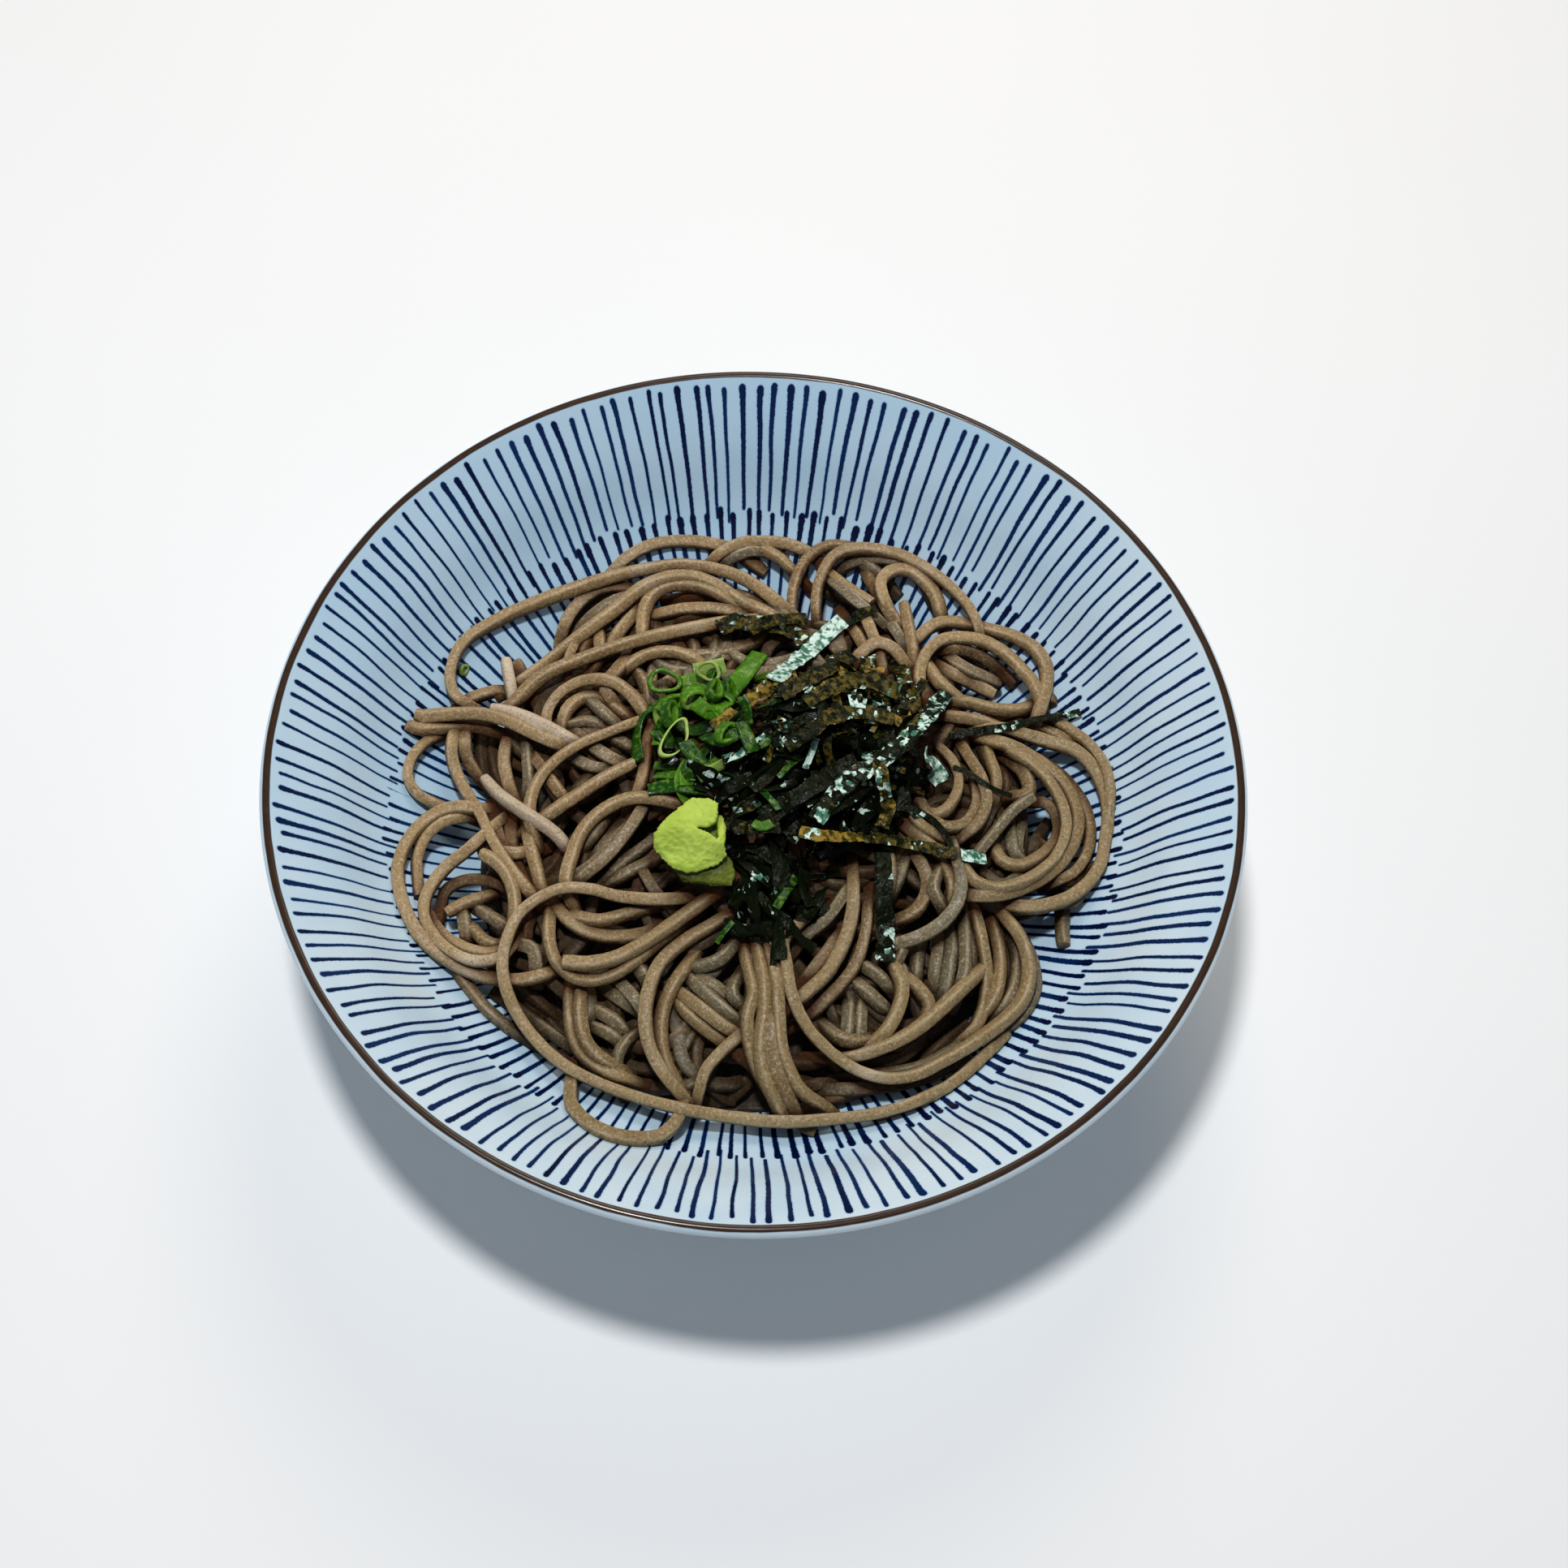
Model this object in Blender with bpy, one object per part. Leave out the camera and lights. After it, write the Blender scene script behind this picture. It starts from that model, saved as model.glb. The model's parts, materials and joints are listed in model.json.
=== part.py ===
# Chilled soba in a wide porcelain bowl, topped with shredded nori, sliced spring onion and wasabi.
# Everything is in metres. The origin is the middle of the foot ring on the table, and +Z is up.
import math

import bmesh
import bpy
import numpy as np

MM = 0.001

# Bowl: a seven-sun serving bowl. A depth is measured down from the crest of the lip.
BOWL_HEIGHT = 52.1 * MM
LIP_RADIUS = 105.0 * MM
LIP_ROUND = 1.5 * MM
LIP_START, LIP_END = math.radians(135.0), math.radians(-45.0)
INSIDE_KNOTS = (
    (0.0, 43.0), (40.0, 42.0), (60.0, 37.5), (72.0, 31.0), (80.0, 25.2),
    (84.0, 21.4), (92.0, 11.7), (100.0, 3.95), (104.0, 0.42),
)
INSIDE_RINGS = (99.0, 94.0, 89.0, 84.0, 79.0, 72.0, 62.0, 47.0, 24.0)
OUTSIDE_RINGS = (101.0, 95.0, 88.0, 81.0, 71.0, 58.0)
WALL_AT_LIP = 3.1 * MM
WALL_AT_FOOT = 5.4 * MM
FOOT_RADIUS = 50.0 * MM
FOOT_WIDTH = 4.6 * MM
FOOT_BEVEL = 0.8 * MM
FOOT_TOP = 6.2 * MM
FOOT_RECESS = 3.6 * MM
LIP_STEPS = 4
BOWL_SIDES = 64

# Noodle heap: a low dome of swirled strands, with loops that spill up the wall.
NOODLE_SIDES = 84
NOODLE_RINGS = 14
UNDER_RINGS = (0.96, 0.86, 0.68, 0.35)
HEAP_TOP = 11.0 * MM
HEAP_EDGE = 24.5 * MM
HEAP_RADIUS = 78.0 * MM
STRAND = 3.6 * MM
HEAP_REACH = 72.5 * MM
# Each spill is the compass angle in degrees, its reach from the middle in mm and its half width.
SPILLS = (
    (2, 80.0, 14), (17, 80.0, 6), (38, 77.5, 8), (62, 76.5, 12), (114, 75.0, 8),
    (143, 79.0, 10), (157, 77.5, 5), (168, 80.5, 6), (180, 77.0, 5), (204, 79.5, 11),
    (224, 75.5, 9), (254, 84.0, 8), (280, 77.0, 6), (302, 76.5, 14), (322, 75.5, 8),
    (351, 80.0, 6),
)
# Each swirl is x, y, ring radius, rise of the ring and sink of its middle, in mm.
SWIRLS = (
    (57, 2, 19, 1.8, 3.0), (36, -37, 24, 1.6, 3.2), (-58, -30, 12, 1.8, 3.6),
    (-32, 12, 21, 1.4, 1.4), (-18, 46, 15, 1.8, 2.8), (28, 58, 11, 1.6, 3.0),
    (52, 40, 14, 1.8, 3.2), (-59, 37, 12, 1.6, 4.6), (-25, -44, 17, 1.6, 2.6),
    (-70, 8, 8, 1.2, 2.4), (-22, -72, 9, 1.0, 2.0), (4, -60, 12, 1.4, 2.4),
)
SWIRL_WIDTH = 4.2 * MM

# Toppings, each a heap of its own on the noodles. Outline wobble is (waves, share, turn).
GAP = 0.4 * MM
NORI_CENTRE = (17.0 * MM, 9.0 * MM)
NORI_REACH = (25.0 * MM, 30.0 * MM)
NORI_WOBBLE = ((3, 0.10, 0.6), (5, 0.07, 2.0), (8, 0.05, 4.1))
NORI_HEIGHT = 7.6 * MM
# Each strip is x, y, heading in degrees, length and rise, in mm.
NORI_STRIPS = (
    (13, 36, 38, 34, 1.4), (30, 20, 42, 34, 1.6), (24, 9, 30, 30, 1.8), (4, 17, 58, 30, 1.2),
    (16, -9, 2, 42, 1.6), (8, 2, -35, 26, 1.2), (34, 4, -28, 24, 1.0), (22, 27, -62, 26, 1.2),
)
STRIP_WIDTH = 4.2 * MM
ONION_CENTRE = (-13.5 * MM, 17.0 * MM)
ONION_REACH = (13.5 * MM, 17.0 * MM)
ONION_WOBBLE = ((3, 0.08, 1.1), (5, 0.08, 0.2))
ONION_HEIGHT = 5.0 * MM
# Each slice is x, y and ring radius, in mm.
ONION_SLICES = (
    (-23, 26, 3.6), (-15, 29, 3.4), (-7, 27, 3.8), (-21, 15, 3.8), (-12, 19, 3.6),
    (-6, 15, 3.2), (-18, 7, 3.8), (-10, 9, 3.4),
)
SLICE_WALL = 1.3 * MM
WASABI_CENTRE = (-13.5 * MM, -16.5 * MM)
WASABI_REACH = (10.2 * MM, 9.2 * MM)
WASABI_WOBBLE = ((3, 0.06, 0.4), (5, 0.05, 1.9), (7, 0.03, 3.0))
WASABI_HEIGHT = 9.5 * MM


def clear_scene():
    for thing in list(bpy.data.objects):
        bpy.data.objects.remove(thing, do_unlink=True)


def material(name, colour, roughness, metallic=0.0):
    made = bpy.data.materials.new(name)
    made.use_nodes = True
    shader = made.node_tree.nodes["Principled BSDF"]
    shader.inputs["Base Color"].default_value = (*colour, 1.0)
    shader.inputs["Roughness"].default_value = roughness
    shader.inputs["Metallic"].default_value = metallic
    return made


def add_object(name, mesh_data, finish):
    made = bpy.data.objects.new(name, mesh_data)
    bpy.context.scene.collection.objects.link(made)
    made.data.materials.append(finish)
    mesh_data.shade_smooth()
    mesh_data.set_sharp_from_angle(angle=math.radians(50.0))
    return made


def smooth_curve(knots, at):
    # A monotone cubic through the knots, so the curve never overshoots them.
    xs, ys = np.array(knots, dtype=float).T
    step = np.diff(xs)
    slope = np.diff(ys) / step
    tangent = np.zeros_like(xs)
    tangent[-1] = slope[-1]
    before, after = slope[:-1], slope[1:]
    weight_a, weight_b = 2 * step[1:] + step[:-1], step[1:] + 2 * step[:-1]
    tangent[1:-1] = (weight_a + weight_b) / (weight_a / before + weight_b / after)
    at = np.clip(at, xs[0], xs[-1])
    cell = np.clip(np.searchsorted(xs, at) - 1, 0, len(step) - 1)
    t = (at - xs[cell]) / step[cell]
    rise = ys[cell] * (1 + 2 * t) * (1 - t) ** 2 + ys[cell + 1] * t * t * (3 - 2 * t)
    return rise + step[cell] * t * (1 - t) * (tangent[cell] * (1 - t) - tangent[cell + 1] * t)


def inside_height(radius):
    return BOWL_HEIGHT - smooth_curve(INSIDE_KNOTS, np.asarray(radius) / MM) * MM


def inside_slope(radius):
    return (inside_height(radius + 0.5 * MM) - inside_height(radius - 0.5 * MM)) / MM


def spin_profile(profile, sides):
    # Rings of points round Z, closed by a fan at each end of the profile, which lie on the axis.
    mesh = bmesh.new()
    first = mesh.verts.new((0.0, 0.0, profile[0][1]))
    last = mesh.verts.new((0.0, 0.0, profile[-1][1]))
    angles = [2 * math.pi * side / sides for side in range(sides)]
    rings = [
        [mesh.verts.new((radius * math.cos(a), radius * math.sin(a), height)) for a in angles]
        for radius, height in profile[1:-1]
    ]
    close_rings(mesh, rings, first, last)
    return mesh


def close_rings(mesh, rings, first, last):
    sides = len(rings[0])
    for side in range(sides):
        after = (side + 1) % sides
        mesh.faces.new((first, rings[0][side], rings[0][after]))
        mesh.faces.new((last, rings[-1][after], rings[-1][side]))
        for near, far in zip(rings, rings[1:]):
            mesh.faces.new((near[side], far[side], far[after], near[after]))
    bmesh.ops.recalc_face_normals(mesh, faces=mesh.faces)


def finish_mesh(mesh, name):
    bmesh.ops.triangulate(mesh, faces=mesh.faces, quad_method="SHORT_EDGE")
    mesh_data = bpy.data.meshes.new(name)
    mesh.to_mesh(mesh_data)
    mesh.free()
    return mesh_data


def bowl_profile():
    # From the axis up the inside, over the lip, down the outside and across the foot.
    inside = [(0.0, float(inside_height(0.0)))]
    for ring in reversed(INSIDE_RINGS):
        inside.append((ring * MM, float(inside_height(ring * MM))))
    centre = (LIP_RADIUS, BOWL_HEIGHT - LIP_ROUND)
    lip = []
    for step in range(LIP_STEPS + 1):
        turn = LIP_START + (LIP_END - LIP_START) * step / LIP_STEPS
        lip.append((centre[0] + LIP_ROUND * math.cos(turn), centre[1] + LIP_ROUND * math.sin(turn)))
    outside = []
    for ring in OUTSIDE_RINGS:
        radius = ring * MM
        share = (LIP_RADIUS - radius) / (LIP_RADIUS - FOOT_RADIUS)
        wall = WALL_AT_LIP + (WALL_AT_FOOT - WALL_AT_LIP) * share
        slope = float(inside_slope(radius))
        length = math.hypot(slope, 1.0)
        outside.append((radius + wall * slope / length, float(inside_height(radius)) - wall / length))
    inner = FOOT_RADIUS - FOOT_WIDTH
    foot = [
        (FOOT_RADIUS + 0.6 * MM, FOOT_TOP),
        (FOOT_RADIUS, FOOT_TOP - 1.2 * MM),
        (FOOT_RADIUS - 0.4 * MM, FOOT_BEVEL),
        (FOOT_RADIUS - 0.4 * MM - FOOT_BEVEL, 0.0),
        (inner + FOOT_BEVEL, 0.0),
        (inner, FOOT_BEVEL),
        (inner - 0.6 * MM, FOOT_RECESS),
        (0.0, FOOT_RECESS),
    ]
    return inside + lip + outside + foot


def build_bowl():
    porcelain = material("porcelain", (0.62, 0.70, 0.74), 0.18)
    mesh_data = finish_mesh(spin_profile(bowl_profile(), BOWL_SIDES), "bowl")
    return add_object("bowl", mesh_data, porcelain)


def heap_reach(angle):
    reach = HEAP_REACH
    for spill_angle, spill_reach, spill_width in SPILLS:
        away = (angle - math.radians(spill_angle) + math.pi) % (2 * math.pi) - math.pi
        share = math.exp(-(away / math.radians(spill_width)) ** 2)
        reach = max(reach, HEAP_REACH + (spill_reach * MM - HEAP_REACH) * share)
    return reach


def heap_height(x, y):
    radius = math.hypot(x, y)
    dome = BOWL_HEIGHT - HEAP_TOP - (HEAP_EDGE - HEAP_TOP) * (radius / HEAP_RADIUS) ** 2
    relief = 0.0
    for swirl_x, swirl_y, ring, rise, sink in SWIRLS:
        away = math.hypot(x - swirl_x * MM, y - swirl_y * MM)
        relief += rise * MM * math.exp(-((away - ring * MM) / SWIRL_WIDTH) ** 2)
        relief -= sink * MM * math.exp(-(away / (0.55 * ring * MM)) ** 2)
    return max(dome + relief, float(inside_height(radius)) + STRAND)


def heap_mesh():
    # The dome runs out to the uneven edge, turns round one strand there and comes back in
    # underneath, a small gap above the bowl.
    mesh = bmesh.new()
    angles = [2 * math.pi * side / NOODLE_SIDES for side in range(NOODLE_SIDES)]
    reaches = [heap_reach(angle) for angle in angles]
    rings = []
    for ring in range(1, NOODLE_RINGS + 1):
        share = ring / NOODLE_RINGS
        points = []
        for angle, reach in zip(angles, reaches):
            radius = (reach - 0.35 * STRAND) * share
            x, y = radius * math.cos(angle), radius * math.sin(angle)
            points.append(mesh.verts.new((x, y, heap_height(x, y))))
        rings.append(points)
    for inset, lift in ((0.0, 0.55), (0.1, 0.2)):
        rings.append(edge_ring(mesh, angles, reaches, inset * STRAND, lift * STRAND))
    for share in UNDER_RINGS:
        rings.append(edge_ring(mesh, angles, [reach * share for reach in reaches], 0.0, 0.0))
    top = mesh.verts.new((0.0, 0.0, heap_height(0.0, 0.0)))
    bottom = mesh.verts.new((0.0, 0.0, float(inside_height(0.0)) + 1.5 * GAP))
    close_rings(mesh, rings, top, bottom)
    return mesh


def edge_ring(mesh, angles, reaches, inset, lift):
    points = []
    for angle, reach in zip(angles, reaches):
        radius = reach - inset
        slope = float(inside_slope(radius))
        height = float(inside_height(radius)) + 1.5 * GAP * math.hypot(slope, 1.0) + lift
        points.append(mesh.verts.new((radius * math.cos(angle), radius * math.sin(angle), height)))
    return points


def build_noodles():
    soba = material("soba", (0.33, 0.21, 0.12), 0.45)
    return add_object("noodles", finish_mesh(heap_mesh(), "noodles"), soba)


def mound_mesh(centre, reach, wobble, height_at, rings, sides, grow=0.0):
    # A closed mound whose skirt runs down into the noodles. grow swells it on every side.
    mesh = bmesh.new()
    bands = []
    foot = heap_height(*centre) - 9.0 * MM
    for ring in range(1, rings + 2):
        share = min(ring / rings, 1.0)
        points = []
        for side in range(sides):
            angle = 2 * math.pi * side / sides
            out = 1.0 + sum(size * math.cos(waves * angle + turn) for waves, size, turn in wobble)
            x = centre[0] + (reach[0] * out + grow) * share * math.cos(angle)
            y = centre[1] + (reach[1] * out + grow) * share * math.sin(angle)
            height = heap_height(x, y) + height_at(x, y, share) + grow
            points.append(mesh.verts.new((x, y, height if ring <= rings else foot)))
        bands.append(points)
    top = heap_height(*centre) + height_at(centre[0], centre[1], 0.0) + grow
    first = mesh.verts.new((centre[0], centre[1], top))
    last = mesh.verts.new((centre[0], centre[1], foot))
    close_rings(mesh, bands, first, last)
    return mesh


def dome_share(share, edge):
    return edge + (1.0 - edge) * math.sqrt(max(0.0, 1.0 - share * share))


def nori_rise(x, y, share):
    height = NORI_HEIGHT * dome_share(share, 0.22)
    lift = 0.0
    for strip_x, strip_y, heading, length, rise in NORI_STRIPS:
        turn = math.radians(heading)
        along = (x - strip_x * MM) * math.cos(turn) + (y - strip_y * MM) * math.sin(turn)
        across = (y - strip_y * MM) * math.cos(turn) - (x - strip_x * MM) * math.sin(turn)
        near = math.exp(-(across / (0.6 * STRIP_WIDTH)) ** 4 - (along / (0.5 * length * MM)) ** 6)
        lift = max(lift, rise * MM * near)
    return height * 0.9 + lift


def onion_rise(x, y, share):
    height = ONION_HEIGHT * dome_share(share, 0.3)
    lift = 0.0
    for slice_x, slice_y, ring in ONION_SLICES:
        away = math.hypot(x - slice_x * MM, y - slice_y * MM)
        wall = math.exp(-((away - ring * MM) / SLICE_WALL) ** 2)
        lift = max(lift, 1.3 * MM * wall)
    return height * 0.85 + lift


def wasabi_rise(x, y, share):
    tilt = 0.05 * (WASABI_CENTRE[1] - y) + 0.10 * (x - WASABI_CENTRE[0])
    dent = 1.6 * MM * math.exp(-(((x + 9.0 * MM) ** 2 + (y + 9.0 * MM) ** 2) / (3.4 * MM) ** 2))
    lumps = 0.5 * MM * math.sin(x / (2.1 * MM)) * math.cos(y / (2.6 * MM) + 0.7)
    return WASABI_HEIGHT * dome_share(share, 0.18) - tilt - dent + lumps * (1.0 - share)


def cut_with(target, cutter):
    cut = target.modifiers.new("clear_of_" + cutter.name, "BOOLEAN")
    cut.operation = "DIFFERENCE"
    cut.solver = "EXACT"
    cut.object = cutter


def add_cutter(name, mesh):
    made = bpy.data.objects.new(name, finish_mesh(mesh, name))
    bpy.context.scene.collection.objects.link(made)
    made.hide_render = True
    made.display_type = "WIRE"
    return made


def build_toppings():
    raised = heap_mesh()
    bmesh.ops.translate(raised, verts=raised.verts, vec=(0.0, 0.0, GAP))
    noodle_cutter = add_cutter("noodle_clearance", raised)
    nori_shape = (NORI_CENTRE, NORI_REACH, NORI_WOBBLE, nori_rise, 9, 30)
    onion_shape = (ONION_CENTRE, ONION_REACH, ONION_WOBBLE, onion_rise, 8, 24)
    wasabi_shape = (WASABI_CENTRE, WASABI_REACH, WASABI_WOBBLE, wasabi_rise, 6, 18)
    nori_cutter = add_cutter("nori_clearance", mound_mesh(*nori_shape, grow=GAP))
    wasabi_cutter = add_cutter("wasabi_clearance", mound_mesh(*wasabi_shape, grow=GAP))
    toppings = (
        ("nori", nori_shape, material("nori", (0.012, 0.018, 0.010), 0.35), (wasabi_cutter,)),
        ("spring_onion", onion_shape, material("spring_onion", (0.16, 0.38, 0.03), 0.4),
         (nori_cutter, wasabi_cutter)),
        ("wasabi", wasabi_shape, material("wasabi", (0.55, 0.68, 0.13), 0.6), ()),
    )
    for name, shape, finish, neighbours in toppings:
        made = add_object(name, finish_mesh(mound_mesh(*shape), name), finish)
        cut_with(made, noodle_cutter)
        for neighbour in neighbours:
            cut_with(made, neighbour)


clear_scene()
build_bowl()
build_noodles()
build_toppings()
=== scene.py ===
import json
import math
import random

import bmesh
import bpy
import numpy as np
from mathutils import Matrix, Vector, noise

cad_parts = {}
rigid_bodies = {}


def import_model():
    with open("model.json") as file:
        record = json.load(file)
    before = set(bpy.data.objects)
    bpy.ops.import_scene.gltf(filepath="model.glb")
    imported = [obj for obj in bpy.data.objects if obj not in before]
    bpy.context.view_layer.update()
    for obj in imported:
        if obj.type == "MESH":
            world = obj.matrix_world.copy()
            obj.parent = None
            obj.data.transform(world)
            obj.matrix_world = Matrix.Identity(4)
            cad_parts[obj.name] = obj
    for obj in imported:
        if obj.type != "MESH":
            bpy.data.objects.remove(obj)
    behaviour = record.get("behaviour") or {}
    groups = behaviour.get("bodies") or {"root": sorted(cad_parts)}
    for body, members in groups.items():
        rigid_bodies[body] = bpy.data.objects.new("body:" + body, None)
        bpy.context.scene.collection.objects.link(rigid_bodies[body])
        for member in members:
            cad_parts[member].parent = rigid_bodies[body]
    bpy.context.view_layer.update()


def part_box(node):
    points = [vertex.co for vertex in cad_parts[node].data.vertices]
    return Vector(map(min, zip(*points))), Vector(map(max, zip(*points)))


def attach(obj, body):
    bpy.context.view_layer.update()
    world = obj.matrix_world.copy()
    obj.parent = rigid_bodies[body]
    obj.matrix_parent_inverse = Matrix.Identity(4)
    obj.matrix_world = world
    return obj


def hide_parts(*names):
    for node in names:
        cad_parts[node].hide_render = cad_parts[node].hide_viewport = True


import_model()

mm = 0.001
fullTurn = 2 * math.pi
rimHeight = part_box("bowl")[1][2] / mm
view = {
    "target": (6.24, -5.48, 52.1), "distance": 523.2, "elevation": 61.06, "roll": 3.63,
    "lens": 55.9, "sensor": 36.0, "clipStart": 0.01,
    "lamp": (-0.117, 0.077, 1.211), "lampSize": 0.15, "lampPower": 9.8, "lampColour": (0.96, 0.975, 0.985),
    "fill": (0.10, 0.95, 0.85), "fillSize": 0.6, "fillPower": 4.4, "fillColour": (1.0, 0.88, 0.73),
    "sky": (0.186, 0.203, 0.232), "skyPower": 1.0,
    "tableHalf": 1.6, "tableDrop": 0.0002, "tableDark": (0.88, 0.88, 0.875), "tablePale": (0.92, 0.92, 0.915),
}
rise = math.radians(view["elevation"])
forward = Vector((0, math.cos(rise), -math.sin(rise)))
eyePlace = Vector(view["target"]) - forward * view["distance"]


class NodeWriter:
    # Adds nodes to a tree. An input takes a plain value or another node's output.
    def __init__(self, group):
        self.nodes = group.nodes
        self.links = group.links

    def plug(self, socket, value):
        if isinstance(value, bpy.types.NodeSocket):
            self.links.new(value, socket)
        else:
            socket.default_value = value

    def add(self, kind, inputs=None, **settings):
        node = self.nodes.new(kind)
        for name, value in settings.items():
            setattr(node, name, value)
        for socket, value in (inputs or {}).items():
            self.plug(node.inputs[socket], value)
        return node

    def math(self, kind, first, second=0.0, third=0.0, clamp=False):
        inputs = {0: first, 1: second, 2: third}
        return self.add("ShaderNodeMath", inputs, operation=kind, use_clamp=clamp).outputs[0]

    def plus(self, first, second):
        return self.math("ADD", first, second)

    def minus(self, first, second):
        return self.math("SUBTRACT", first, second)

    def times(self, first, second):
        return self.math("MULTIPLY", first, second)

    def fit(self, value, scale, offset):
        return self.math("MULTIPLY_ADD", value, scale, offset)


class Shade(NodeWriter):
    # One procedural material around a Principled shader.
    def __init__(self, name, **sockets):
        self.material = bpy.data.materials.new(name)
        self.material.use_nodes = True
        super().__init__(self.material.node_tree)
        self.shader = self.nodes["Principled BSDF"]
        for socket, value in sockets.items():
            self.shader.inputs[socket.replace("_", " ")].default_value = value

    def where(self):
        return self.add("ShaderNodeTexCoord").outputs["Object"]

    def attribute(self, name):
        return self.add("ShaderNodeAttribute", attribute_name=name).outputs["Fac"]

    def scaled(self, vector, *sizes):
        return self.add("ShaderNodeVectorMath", {0: vector, 1: sizes}, operation="MULTIPLY").outputs[0]

    def split(self, vector):
        return self.add("ShaderNodeSeparateXYZ", {0: vector}).outputs[:]

    def join(self, x, y, z):
        return self.add("ShaderNodeCombineXYZ", {0: x, 1: y, 2: z}).outputs[0]

    def noise(self, vector, scale, detail=3.0, rough=0.55):
        inputs = {"Vector": vector, "Scale": scale, "Detail": detail, "Roughness": rough}
        return self.add("ShaderNodeTexNoise", inputs).outputs["Fac"]

    def cells(self, vector, scale, output="Distance"):
        return self.add("ShaderNodeTexVoronoi", {"Vector": vector, "Scale": scale}).outputs[output]

    def chance(self, value, offset):
        # A random number for each whole value.
        inputs = {"W": self.plus(value, offset)}
        return self.add("ShaderNodeTexWhiteNoise", inputs, noise_dimensions="1D").outputs["Value"]

    def ramp(self, value, low, high, start=0.0, end=1.0):
        inputs = {"Value": value, "From Min": low, "From Max": high, "To Min": start, "To Max": end}
        return self.add("ShaderNodeMapRange", inputs, interpolation_type="SMOOTHSTEP").outputs["Result"]

    def cloud(self, vector, scale, detail, low, high, start=0.0, end=1.0, rough=0.55):
        # Noise spread out from its low to its high level.
        return self.ramp(self.noise(vector, scale, detail, rough), low, high, start, end)

    def mix(self, share, first, second, kind="MIX"):
        first, second = ((*value, 1.0) if isinstance(value, tuple) else value for value in (first, second))
        inputs = {"Factor": share, 6: first, 7: second}  # 6 and 7 are the node's two colours
        return self.add("ShaderNodeMix", inputs, data_type="RGBA", blend_type=kind).outputs[2]

    def finish(self, tint, rough=None, height=None, depth=0.0):
        self.plug(self.shader.inputs["Base Color"], tint)
        if rough is not None:
            self.plug(self.shader.inputs["Roughness"], rough)
        if height is not None:
            bump = self.add("ShaderNodeBump", {"Strength": 1.0, "Distance": depth, "Height": height})
            self.plug(self.shader.inputs["Normal"], bump.outputs["Normal"])
        return self.material


class Tree(NodeWriter):
    # One Geometry Nodes tree with named inputs.
    def __init__(self, name, inputs):
        self.group = bpy.data.node_groups.new(name, "GeometryNodeTree")
        super().__init__(self.group)
        face = self.group.interface
        face.new_socket("Geometry", in_out="INPUT", socket_type="NodeSocketGeometry")
        self.ids = {}
        for label, value in inputs.items():
            kind = "NodeSocketInt" if isinstance(value, int) else "NodeSocketFloat"
            socket = face.new_socket(label, in_out="INPUT", socket_type=kind)
            socket.default_value = value
            self.ids[label] = socket.identifier
        face.new_socket("Geometry", in_out="OUTPUT", socket_type="NodeSocketGeometry")
        self.given = self.nodes.new("NodeGroupInput").outputs
        self.end = self.nodes.new("NodeGroupOutput")

    def field(self, name):
        node = self.add("GeometryNodeInputNamedAttribute", {"Name": name}, data_type="FLOAT")
        return node.outputs["Attribute"]

    def finish(self, geometry, finish, smoothly):
        real = self.add("GeometryNodeRealizeInstances", {"Geometry": geometry})
        smooth = self.add("GeometryNodeSetShadeSmooth",
                          {"Geometry": real.outputs[0], "Shade Smooth": smoothly})
        dressed = self.add("GeometryNodeSetMaterial", {"Geometry": smooth.outputs[0], "Material": finish})
        self.plug(self.end.inputs[0], dressed.outputs[0])


def addPiece(name, mesh):
    piece = bpy.data.objects.new(name, mesh)
    bpy.context.scene.collection.objects.link(piece)
    return piece


def keepShape(shape, name, finish):
    # Turns a worked shape into a smooth piece.
    mesh = bpy.data.meshes.new(name)
    shape.to_mesh(mesh)
    shape.free()
    mesh.shade_smooth()
    mesh.materials.append(finish)
    return addPiece(name, mesh)


def keepEvaluated(source):
    # The mesh that an object's modifiers make of it. The object itself goes.
    graph = bpy.context.evaluated_depsgraph_get()
    mesh = bpy.data.meshes.new_from_object(source.evaluated_get(graph), depsgraph=graph)
    source.modifiers.clear()
    bpy.data.objects.remove(source, do_unlink=True)
    return mesh


def storeValues(mesh, name, values):
    mesh.attributes.new(name, "FLOAT", "POINT").data.foreach_set("value", values)


def settle(piece, node):
    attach(piece, "root")
    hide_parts(node)
    print("made", piece.name, len(piece.data.polygons), "faces")
    return piece


def closedSkin(first, rings, last):
    # One closed skin through rings of points, with a single point at either end.
    shape = bmesh.new()

    def corner(point):
        return shape.verts.new([value * mm for value in point])

    start, end = corner(first), corner(last)
    bands = [[corner(point) for point in ring] for ring in rings]
    for side in range(len(bands[0])):
        after = (side + 1) % len(bands[0])
        shape.faces.new((start, bands[0][side], bands[0][after]))
        shape.faces.new((end, bands[-1][after], bands[-1][side]))
        for near, far in zip(bands, bands[1:]):
            shape.faces.new((near[side], far[side], far[after], near[after]))
    bmesh.ops.recalc_face_normals(shape, faces=shape.faces)
    return shape


def evenAngles(count):
    return [fullTurn * side / count for side in range(count)]


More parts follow.
